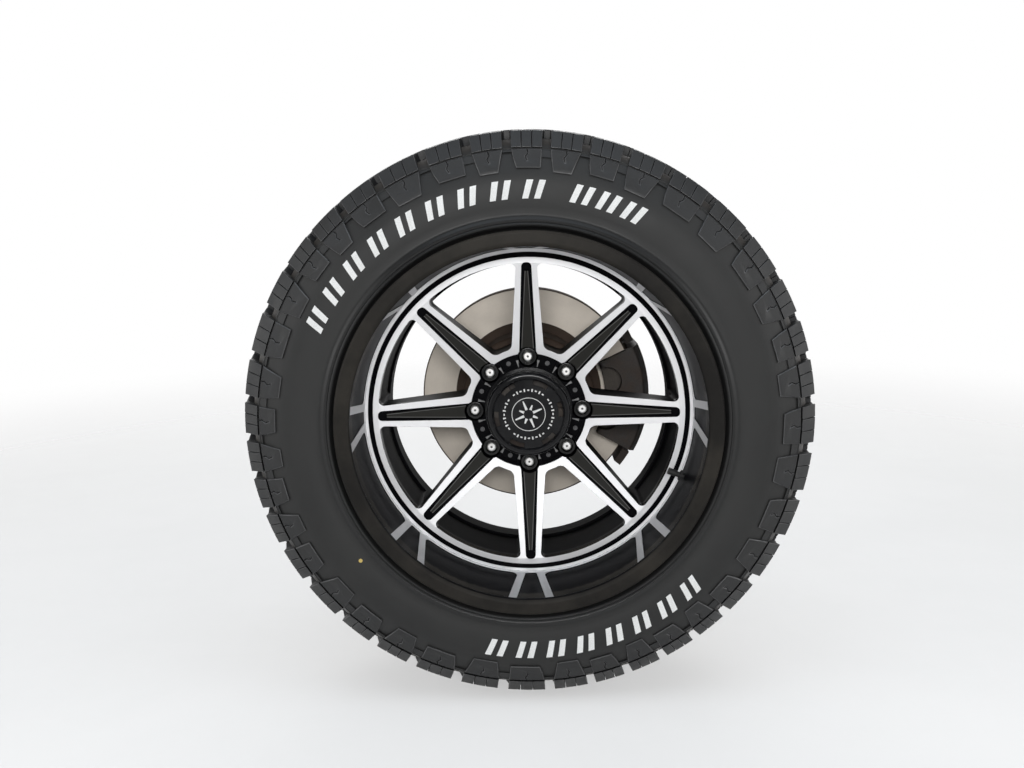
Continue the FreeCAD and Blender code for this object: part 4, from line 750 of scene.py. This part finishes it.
def rim_material(look):
    """Gloss black paint, with the turned faces bare alloy and the spokes' inserts satin."""
    material, nodes, surface = new_material("rim_paint_and_turned_alloy")
    place = nodes.group("wheel_place", Ring_Scale=1500.0)
    grain = nodes.group("grain", Scale=700.0, Mottle_Scale=8.0)
    radius, out, rings = place["Radius"], place["Out"], place["Rings"]

    # masks: the turned faces, the inserts with their painted highlight line, then the parts that are duller
    face = nodes.range(radius, HUB_EDGE[0], RING_EDGE[0], HUB_EDGE[1], RING_EDGE[1])
    over_face = nodes.math("SUBTRACT", out, face)
    on_face = nodes.range(over_face, -0.0006, -0.0003)
    spokes = nodes.times(on_face, nodes.band(radius, HUB_EDGE[0], RING_R + 0.0001))
    on_ring = nodes.range(out, EDGE_RING_OUT - 0.0007, EDGE_RING_OUT - 0.0003)
    edge_ring = nodes.times(on_ring, nodes.band(radius, *EDGE_RING_R))
    wall = nodes.range(out, LIP_START[0], LIP_END[0], LIP_START[1], LIP_END[1])
    on_wall = nodes.band(nodes.math("SUBTRACT", radius, wall), -0.0006, 0.0007)
    forks = nodes.times(on_wall, nodes.band(out, *FORK_OUT))
    turned = nodes.math("MAXIMUM", nodes.math("MAXIMUM", spokes, edge_ring), forks)
    on_insert = nodes.band(over_face, -INSERT_DROP - 0.0004, -INSERT_DROP + 0.0004)
    insert = nodes.times(on_insert, nodes.band(radius, *INSERT_R))
    inset = nodes.math("SUBTRACT", nodes.range(radius, *INSERT_R, *INSERT_HALF), place["Across"])
    # a lighter line inside each insert's edge: a painted highlight
    line = nodes.times(insert, nodes.band(inset, *INSERT_HIGHLIGHT_LINE))
    flange = nodes.band(radius, *FLANGE_R)
    barrel = nodes.range(out, *BARREL_OUT, 1.0, 0.0)
    before_flange = nodes.range(radius, FLANGE_R[0], FLANGE_R[0] + 0.0002, 1.0, 0.0)
    lip = nodes.times(nodes.range(radius, *LIP_R), before_flange)

    paint = nodes.mix(insert, rgba(look.paint), rgba(look.insert))
    highlight_lined_paint = nodes.mix(line, paint, (0.15, 0.148, 0.146, 1.0))
    # the flange's lighter, mottled brown-grey is a painted sheen of its satin reflection
    flange_painted_sheen = nodes.mix(grain["Mottle"], (0.034, 0.031, 0.027, 1.0), (0.018, 0.017, 0.016, 1.0))
    tone = nodes.mix(rings, rgba(look.machined), (0.76, 0.76, 0.77, 1.0))
    nodes.put(surface["Base Color"], nodes.mix(turned, nodes.mix(flange, highlight_lined_paint, flange_painted_sheen), tone))
    nodes.put(surface["Metallic"], turned)
    nodes.put(surface["Specular IOR Level"], 0.03)

    satin = nodes.range(grain["Mottle"], 0.0, 1.0, 0.05, 0.09)
    dulled = nodes.times(insert, 0.26)
    for mask, more in ((flange, 0.26), (barrel, 0.45), (lip, 0.24)):
        dulled = nodes.math("MAXIMUM", dulled, nodes.times(mask, more))
    satin = nodes.math("ADD", satin, dulled)
    cut = nodes.range(rings, 0.3, 0.7, 0.52, 0.62)
    more = nodes.times(turned, nodes.math("SUBTRACT", cut, satin))
    nodes.put(surface["Roughness"], nodes.math("ADD", satin, more))
    height = nodes.math("ADD", nodes.times(turned, rings), nodes.times(grain["Fine"], 0.02))
    bump(nodes, surface, height, 0.25, 0.0001, 0.0007)
    return material


def disc_material(look):
    """Brake disc: swept faces turned by the pads, rust on the hat and the edges."""
    material, nodes, surface = new_material("disc_iron")
    place = nodes.group("wheel_place", Ring_Scale=1100.0)
    grain = nodes.group("grain", Scale=500.0, Mottle_Scale=18.0)
    swept = nodes.band(place["Radius"], *SWEPT_R, 0.0004)
    patch = nodes.times(grain["Mottle"], 0.12)
    rusty = nodes.math("MAXIMUM", nodes.math("SUBTRACT", 1.0, swept), patch, clamp=True)
    streak = nodes.mix(place["Rings"], rgba(look.disc), (0.66, 0.59, 0.50, 1.0))
    nodes.put(surface["Base Color"], nodes.mix(rusty, streak, rgba(look.rust)))
    nodes.put(surface["Metallic"], nodes.range(rusty, 0.0, 1.0, 0.2, 0.1))
    nodes.put(surface["Roughness"], nodes.range(rusty, 0.0, 1.0, 0.5, 0.8))
    bump(nodes, surface, nodes.math("ADD", place["Rings"], grain["Height"]), 0.3, 0.0002, 0.0006)
    return material


def stud_material():
    """Zinc on the studs, with a dent at each stud's end whose shade is painted dark."""
    material, nodes, surface = new_material("stud_zinc")
    place = nodes.group("wheel_place", Ring_Scale=1100.0)
    grain = nodes.group("grain", Scale=900.0, Mottle_Scale=90.0)
    tip = nodes.range(place["Out"], *STUD_END_OUT)
    # painted shade: a dark, less metallic colour in the dent
    dent_with_painted_shade = nodes.times(nodes.range(place["Lug"], *STUD_HOLE_R, 1.0, 0.0), tip)
    zinc = nodes.mix(grain["Mottle"], (0.93, 0.93, 0.92, 1.0), (0.80, 0.79, 0.76, 1.0))
    nodes.put(surface["Base Color"], nodes.mix(dent_with_painted_shade, zinc, (0.05, 0.05, 0.05, 1.0)))
    nodes.put(surface["Metallic"], nodes.range(dent_with_painted_shade, 0.0, 1.0, 0.75, 0.2))
    nodes.put(surface["Roughness"], 0.38)
    height = nodes.math("ADD", grain["Fine"], nodes.times(dent_with_painted_shade, -4.0))
    bump(nodes, surface, height, 0.4, 0.0002, 0.0006)
    return material


def mark_material(look):
    """White rubber of the raised marks, a little soiled."""
    return mottled_material(
        "white_rubber", look.marks, (0.70, 0.70, 0.68), 0.55, scale=700.0, mottle=30.0, stain_share=0.35,
        depth=0.0001,
    )


def dress_nodes(look):
    """Gives every kept CAD node its finish."""
    finishes = {"rim": rim_material(look), "brake_disc": disc_material(look), "wheel_studs": stud_material()}
    for node, (name, base, stain, roughness, more) in FINISHES.items():
        finishes[node] = mottled_material(name, base, stain or look.rust, roughness, **more)
    axle = mottled_material(
        "axle_paint", look.axle, (0.050, 0.044, 0.038), 0.46, scale=260.0, mottle=16.0, stain_share=0.45
    )
    for node in PAINTED_AXLE:
        finishes[node] = axle
    for node, material in finishes.items():
        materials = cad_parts[node].data.materials
        materials.clear()
        materials.append(material)


# Operators


class WHEELEND_OT_groups(bpy.types.Operator):
    """Makes the node groups that the finishes share"""

    bl_idname = "wheelend.groups"
    bl_label = "Shared node groups"

    def execute(self, context):
        make_grain_group()
        make_wheel_place_group()
        return {"FINISHED"}


class WHEELEND_OT_finishes(bpy.types.Operator):
    """Gives every CAD piece that stays its finish"""

    bl_idname = "wheelend.finishes"
    bl_label = "Metal finishes"

    def execute(self, context):
        dress_nodes(context.scene.wheelend_metal)
        for name, base, stain, roughness, more in TRIM_FINISHES:
            mottled_material(name, base, stain, roughness, **more)
        return {"FINISHED"}


class WHEELEND_OT_carcass(bpy.types.Operator):
    """Spins the tyre's carcass with its bead, bead guard, sidewalls and liner"""

    bl_idname = "wheelend.carcass"
    bl_label = "Tyre carcass"

    def execute(self, context):
        look = context.scene.wheelend_tyre
        lower = tuple(station[2] for station in STATIONS if station[0] < PARTING_PROFILE[0][1])
        upper = tuple(station[2] for station in STATIONS if station[0] > WRAP_R)
        half = LINER_PROFILE + BEAD_PROFILE + lower + PARTING_PROFILE + upper
        bm = bmesh.new()
        spin_profile(bm, [(0.0, -across * MM, radius * MM) for across, radius in half], look.steps_round)
        bmesh.ops.mirror(bm, geom=everything(bm), matrix=Matrix.Identity(4), merge_dist=SPUN_SEAM, axis="Y")
        bmesh.ops.remove_doubles(bm, verts=bm.verts, dist=SPUN_SEAM)
        bmesh.ops.translate(bm, verts=bm.verts, vec=(0.0, TYRE_MID_Y, 0.0))
        make_piece("tyre_carcass", bm, [rubber_material(look)], "tyre", "wheel", "tyre")
        return {"FINISHED"}


class WHEELEND_OT_shoulder_blocks(bpy.types.Operator):
    """Makes the shoulder blocks, each of three ribs, over both edges of the tread"""

    bl_idname = "wheelend.shoulder_blocks"
    bl_label = "Shoulder blocks"

    def execute(self, context):
        look = context.scene.wheelend_tyre
        bm = bmesh.new()
        for start, length in pitches():
            left = edge_line(start, length, SHOULDER_LEFT)
            right = edge_line(start + length * (1.0 - look.groove_share), length, SHOULDER_RIGHT)
            ribbed_block(bm, left, right, look.sipe_width / MM)
        raise_blocks(bm, SHOULDER_ROOT_SHARE, 1.0, look.edge_round / MM)
        wrap_both_sides(bm)
        make_piece("tyre_shoulder_blocks", bm, block_materials(look), "tyre", "wheel", "tyre")
        return {"FINISHED"}


class WHEELEND_OT_side_lugs(bpy.types.Operator):
    """Makes the lugs on the upper sidewalls, in turn long and short, with their fine cuts"""

    bl_idname = "wheelend.side_lugs"
    bl_label = "Side lugs"

    def execute(self, context):
        look = context.scene.wheelend_tyre
        bm = bmesh.new()
        shelves = bmesh.new()
        for index, (start, length) in enumerate(pitches()):
            end = start + length * (1.0 - look.groove_share)
            foot, drawn_in = LUG_FEET[index % 2]
            foot_end = end - drawn_in
            middle = lerp(start, end, 0.5)
            body = [
                (start, LUG_TOP),
                (start + LUG_SLANT * LUG_BEND_SHARES[0], LUG_BEND),
                (start + LUG_SLANT, foot),
                (foot_end, foot),
                (lerp(foot_end, end, LUG_BEND_SHARES[1]), LUG_BEND),
                (end, LUG_TOP),
            ]
            far_side = [(middle + LUG_CUT_WIDTH + shift, reach) for shift, reach in LUG_CUT]
            near_side = [(middle + shift, reach) for shift, reach in LUG_CUT[::-1]]
            flat_face(bm, body + far_side + near_side)
            near = end - SHELF_OVERLAP[0]
            far = start + length + SHELF_OVERLAP[1]
            low = SHELF_FEET[index % 2]
            flat_face(shelves, [(near, low), (near, SHELF_TOP), (far, SHELF_TOP), (far, low)])
        raise_blocks(bm, LUG_ROOT_SHARE, 1.0, look.edge_round / MM * LUG_ROUND_SHARE, LUG_HEIGHT)
        raise_blocks(shelves, LUG_ROOT_SHARE, SHELF_TOP_SHARE)
        shelf_mesh = bpy.data.meshes.new("shelves")
        shelves.to_mesh(shelf_mesh)
        shelves.free()
        bm.from_mesh(shelf_mesh)
        bpy.data.meshes.remove(shelf_mesh)
        wrap_both_sides(bm)
        make_piece("tyre_side_lugs", bm, block_materials(look), "tyre", "wheel", "tyre")
        return {"FINISHED"}


class WHEELEND_OT_tread(bpy.types.Operator):
    """Makes the tread's inner blocks between the shoulders"""

    bl_idname = "wheelend.tread"
    bl_label = "Tread blocks"

    def execute(self, context):
        look = context.scene.wheelend_tyre
        bm = bmesh.new()
        for start, length in pitches():
            for left, right in TREAD_ROWS:
                sides = (edge_line(start, length, stations) for stations in (left, right))
                ribbed_block(bm, *sides, look.sipe_width / MM)
        raise_blocks(bm, TREAD_ROOT_SHARE, 1.0, look.edge_round / MM)
        wrap_both_sides(bm)
        make_piece("tyre_tread_blocks", bm, block_materials(look), "tyre", "wheel", "tyre")
        return {"FINISHED"}


class WHEELEND_OT_marks(bpy.types.Operator):
    """Makes the raised white marks, plain slanted bars in groups on the outer sidewall"""

    bl_idname = "wheelend.marks"
    bl_label = "Raised marks"

    def execute(self, context):
        look = context.scene.wheelend_tyre
        bm = bmesh.new()
        low, high = MARK_REACH
        for centre in MARK_ANGLES:
            for shift in (-MARK_SHIFT, MARK_SHIFT):
                middle = math.radians(centre + shift) * WRAP_R
                foot = middle - MARK_LEAN
                head = middle + MARK_LEAN
                flat_face(bm, [
                    (foot - MARK_HALF, low), (head - MARK_HALF, high),
                    (head + MARK_HALF, high), (foot + MARK_HALF, low),
                ])
        raise_blocks(bm, MARK_ROOT_SHARE, 1.0)
        wrap_on_tyre(bm)
        make_piece("tyre_white_marks", bm, [mark_material(look)], "tyre", "wheel", "tyre")
        return {"FINISHED"}


class WHEELEND_OT_balance_dot(bpy.types.Operator):
    """Makes the dot of paint that marks the tyre's light spot"""

    bl_idname = "wheelend.balance_dot"
    bl_label = "Balance dot"

    def execute(self, context):
        bm = bmesh.new()
        outline = []
        for corner in range(DOT_CORNERS):
            turn = FULL_TURN * corner / DOT_CORNERS
            arc = DOT_ANGLE * WRAP_R + DOT_SIZE[0] * math.cos(turn)
            outline.append((arc, DOT_REACH + DOT_SIZE[1] * math.sin(turn)))
        flat_face(bm, outline)
        raise_blocks(bm, MARK_ROOT_SHARE, DOT_TOP_SHARE)
        wrap_on_tyre(bm)
        make_piece("tyre_balance_dot", bm, [bpy.data.materials["balance_paint"]], "tyre", "wheel", "tyre")
        return {"FINISHED"}


class WHEELEND_OT_hub_trim(bpy.types.Operator):
    """Makes the webs beside the nuts and the bolts in the hub plate's recesses"""

    bl_idname = "wheelend.hub_trim"
    bl_label = "Hub plate trim"

    def execute(self, context):
        webs = bmesh.new()
        bolts = bmesh.new()
        for spoke in range(SPOKES):
            angle = spoke * LUG_TURN
            for side in (-WEB_TURN, WEB_TURN):
                web = bar_outline(angle + side, WEB_STATIONS)
                raise_outline(webs, web, *outboard_of(PLATE_OUT, WEB_SPAN), TRIM_ROUND)
            middle = angle + LUG_TURN / 2.0
            washer = round_outline(middle, PLATE_BOLT_R, *WASHER)
            raise_outline(bolts, washer, *outboard_of(RECESS_FLOOR_OUT, WASHER_SPAN))
            head = round_outline(middle, PLATE_BOLT_R, *BOLT_HEAD)
            raise_outline(bolts, head, *outboard_of(RECESS_FLOOR_OUT, BOLT_HEAD_SPAN), TRIM_ROUND)
        make_piece("hub_plate_webs", webs, [bpy.data.materials["web_satin"]], "rim_alloy", "wheel")
        make_piece("hub_plate_bolts", bolts, [bpy.data.materials["plate_bolt_black"]], "bolt_steel", "wheel")
        return {"FINISHED"}


class WHEELEND_OT_cap_trim(bpy.types.Operator):
    """Makes the plain boss and the ring of ticks on the centre cap"""

    bl_idname = "wheelend.cap_trim"
    bl_label = "Centre cap trim"

    def execute(self, context):
        bm = bmesh.new()
        low, high = outboard_of(CAP_FACE_OUT, CAP_TRIM_SPAN)
        for tick in range(CAP_TICKS):
            if tick in CAP_TICK_GAPS:
                continue
            outline = bar_outline(FULL_TURN * tick / CAP_TICKS, CAP_TICK_STATIONS[tick % 2])
            raise_outline(bm, outline, low, high, CAP_TICK_ROUND)
        for bar in range(SPOKES):
            stations = (CAP_BAR_FOOT, (CAP_BAR_REACH[bar % 2], CAP_BAR_END_HALF))
            outline = bar_outline((bar + 0.5) * LUG_TURN, stations)
            raise_outline(bm, outline, low, high + CAP_BAR_RISE, TRIM_ROUND)
        inner, outer = CAP_RING_R
        section = ((inner, low), (inner, high), (outer, high), (outer, low))
        points = [wheel_point(0.0, radius, out) for radius, out in section]
        spin_profile(bm, points, CAP_RING_STEPS, closed=True)
        make_piece("cap_boss", bm, [bpy.data.materials["cap_silver"]], "cap_black", "wheel")
        return {"FINISHED"}


class WHEELEND_OT_stage(bpy.types.Operator):
    """Sets the floor, the lamps, the world and the camera"""

    bl_idname = "wheelend.stage"
    bl_label = "Stage and camera"

    def execute(self, context):
        look = context.scene.wheelend_stage
        make_floor(look)
        make_world()
        for name, settings in LAMPS.items():
            add_lamp(name, *settings)
        make_camera(look)
        context.scene.view_settings.view_transform = "Standard"
        return {"FINISHED"}


def make_floor(look):
    """A wide plain floor under the tyre, which fades into the white round it."""
    bm = bmesh.new()
    bmesh.ops.create_grid(bm, x_segments=8, y_segments=8, size=FLOOR_HALF)
    bmesh.ops.translate(bm, verts=bm.verts, vec=(0.0, 0.0, CAD_BOX[0][2]))
    mesh = bpy.data.meshes.new("floor")
    bm.to_mesh(mesh)
    bm.free()
    material, nodes, surface = new_material("floor_white")
    grain = nodes.group("grain", Scale=40.0, Mottle_Scale=1.5)
    x, y, _ = nodes.axes(nodes.object_place())
    nodes.put(surface["Base Color"], nodes.mix(grain["Mottle"], rgba(look.floor), (0.78, 0.78, 0.78, 1.0)))
    faded = nodes.range(nodes.length(x, y), *FLOOR_FADE, FLOOR_ALPHA, 0.0, smooth=True)
    nodes.put(surface["Alpha"], faded)
    nodes.put(surface["Roughness"], 0.55)
    nodes.put(surface["Specular IOR Level"], 0.2)
    mesh.materials.append(material)
    floor = bpy.data.objects.new("floor", mesh)
    bpy.context.scene.collection.objects.link(floor)


def make_world():
    """White where it is seen and at a mirrored horizon; darker overhead, behind the camera, as light."""
    world = bpy.data.worlds.new("studio")
    world.use_nodes = True
    nodes = Shading(world.node_tree)
    background = world.node_tree.nodes["Background"].inputs
    path = nodes.node("ShaderNodeLightPath").outputs
    seen = nodes.math("MAXIMUM", path["Is Camera Ray"], path["Is Transmission Ray"])
    _, y, z = nodes.axes(nodes.node("ShaderNodeTexCoord").outputs["Generated"])
    low = nodes.range(z, 0.05, 0.45, 1.0, 0.22, smooth=True)
    ahead = nodes.range(y, -0.95, -0.70, 0.35, 1.0, smooth=True)
    mirrored = nodes.times(path["Is Glossy Ray"], nodes.times(low, ahead))
    ambient = nodes.times(nodes.math("SUBTRACT", 1.0, path["Is Glossy Ray"]), 0.28)
    nodes.put(background["Color"], rgba(WHITE))
    nodes.put(background["Strength"], nodes.math("MAXIMUM", seen, nodes.math("ADD", mirrored, ambient)))
    bpy.context.scene.world = world


def add_lamp(name, place, target, size, power, tone):
    """Adds a soft rectangular lamp that points at a target."""
    data = bpy.data.lights.new(name, "AREA")
    data.shape = "RECTANGLE"
    data.size, data.size_y = size
    data.energy = power
    data.color = tone
    lamp = bpy.data.objects.new(name, data)
    lamp.location = place
    lamp.rotation_euler = (Vector(target) - Vector(place)).to_track_quat("-Z", "Y").to_euler()
    bpy.context.scene.collection.objects.link(lamp)


def make_camera(look):
    """The camera that took the photograph."""
    data = bpy.data.cameras.new("photo_camera")
    data.sensor_width = 36.0
    data.lens = look.lens
    camera = bpy.data.objects.new("photo_camera", data)
    turn = (
        Matrix.Rotation(look.yaw, 4, "Z")
        @ Matrix.Rotation(math.radians(90.0) - look.pitch, 4, "X")
        @ Matrix.Rotation(look.roll, 4, "Z")
    )
    camera.matrix_world = Matrix.Translation(look.camera_place) @ turn
    bpy.context.scene.collection.objects.link(camera)
    bpy.context.scene.camera = camera


OPERATORS = (
    WHEELEND_OT_groups,
    WHEELEND_OT_finishes,
    WHEELEND_OT_carcass,
    WHEELEND_OT_shoulder_blocks,
    WHEELEND_OT_side_lugs,
    WHEELEND_OT_tread,
    WHEELEND_OT_marks,
    WHEELEND_OT_balance_dot,
    WHEELEND_OT_hub_trim,
    WHEELEND_OT_cap_trim,
    WHEELEND_OT_stage,
)


class WHEELEND_PT_panel(bpy.types.Panel):
    """Lists the steps and the looks of the wheel end"""

    bl_idname = "WHEELEND_PT_panel"
    bl_label = "Wheel end"
    bl_space_type = "VIEW_3D"
    bl_region_type = "UI"
    bl_category = "Wheel end"

    def draw(self, context):
        for operator in OPERATORS:
            self.layout.operator(operator.bl_idname)
        scene = context.scene
        for group in (scene.wheelend_tyre, scene.wheelend_metal, scene.wheelend_stage):
            for name in group.__annotations__:
                self.layout.prop(group, name)


PROPERTY_GROUPS = (WheelEndTyre, WheelEndMetal, WheelEndStage)
CLASSES = PROPERTY_GROUPS + OPERATORS + (WHEELEND_PT_panel,)


def register():
    """Registers the classes and hangs the properties on the scene."""
    for item in CLASSES:
        bpy.utils.register_class(item)
    bpy.types.Scene.wheelend_tyre = PointerProperty(type=WheelEndTyre)
    bpy.types.Scene.wheelend_metal = PointerProperty(type=WheelEndMetal)
    bpy.types.Scene.wheelend_stage = PointerProperty(type=WheelEndStage)


def unregister():
    """Takes off what register added."""
    del bpy.types.Scene.wheelend_stage
    del bpy.types.Scene.wheelend_metal
    del bpy.types.Scene.wheelend_tyre
    for item in reversed(CLASSES):
        bpy.utils.unregister_class(item)


def main():
    """Runs every step in order."""
    register()
    bpy.ops.wheelend.groups()
    bpy.ops.wheelend.finishes()
    bpy.ops.wheelend.carcass()
    bpy.ops.wheelend.shoulder_blocks()
    bpy.ops.wheelend.side_lugs()
    bpy.ops.wheelend.tread()
    bpy.ops.wheelend.marks()
    bpy.ops.wheelend.balance_dot()
    bpy.ops.wheelend.hub_trim()
    bpy.ops.wheelend.cap_trim()
    bpy.ops.wheelend.stage()


if __name__ == "__main__":
    main()
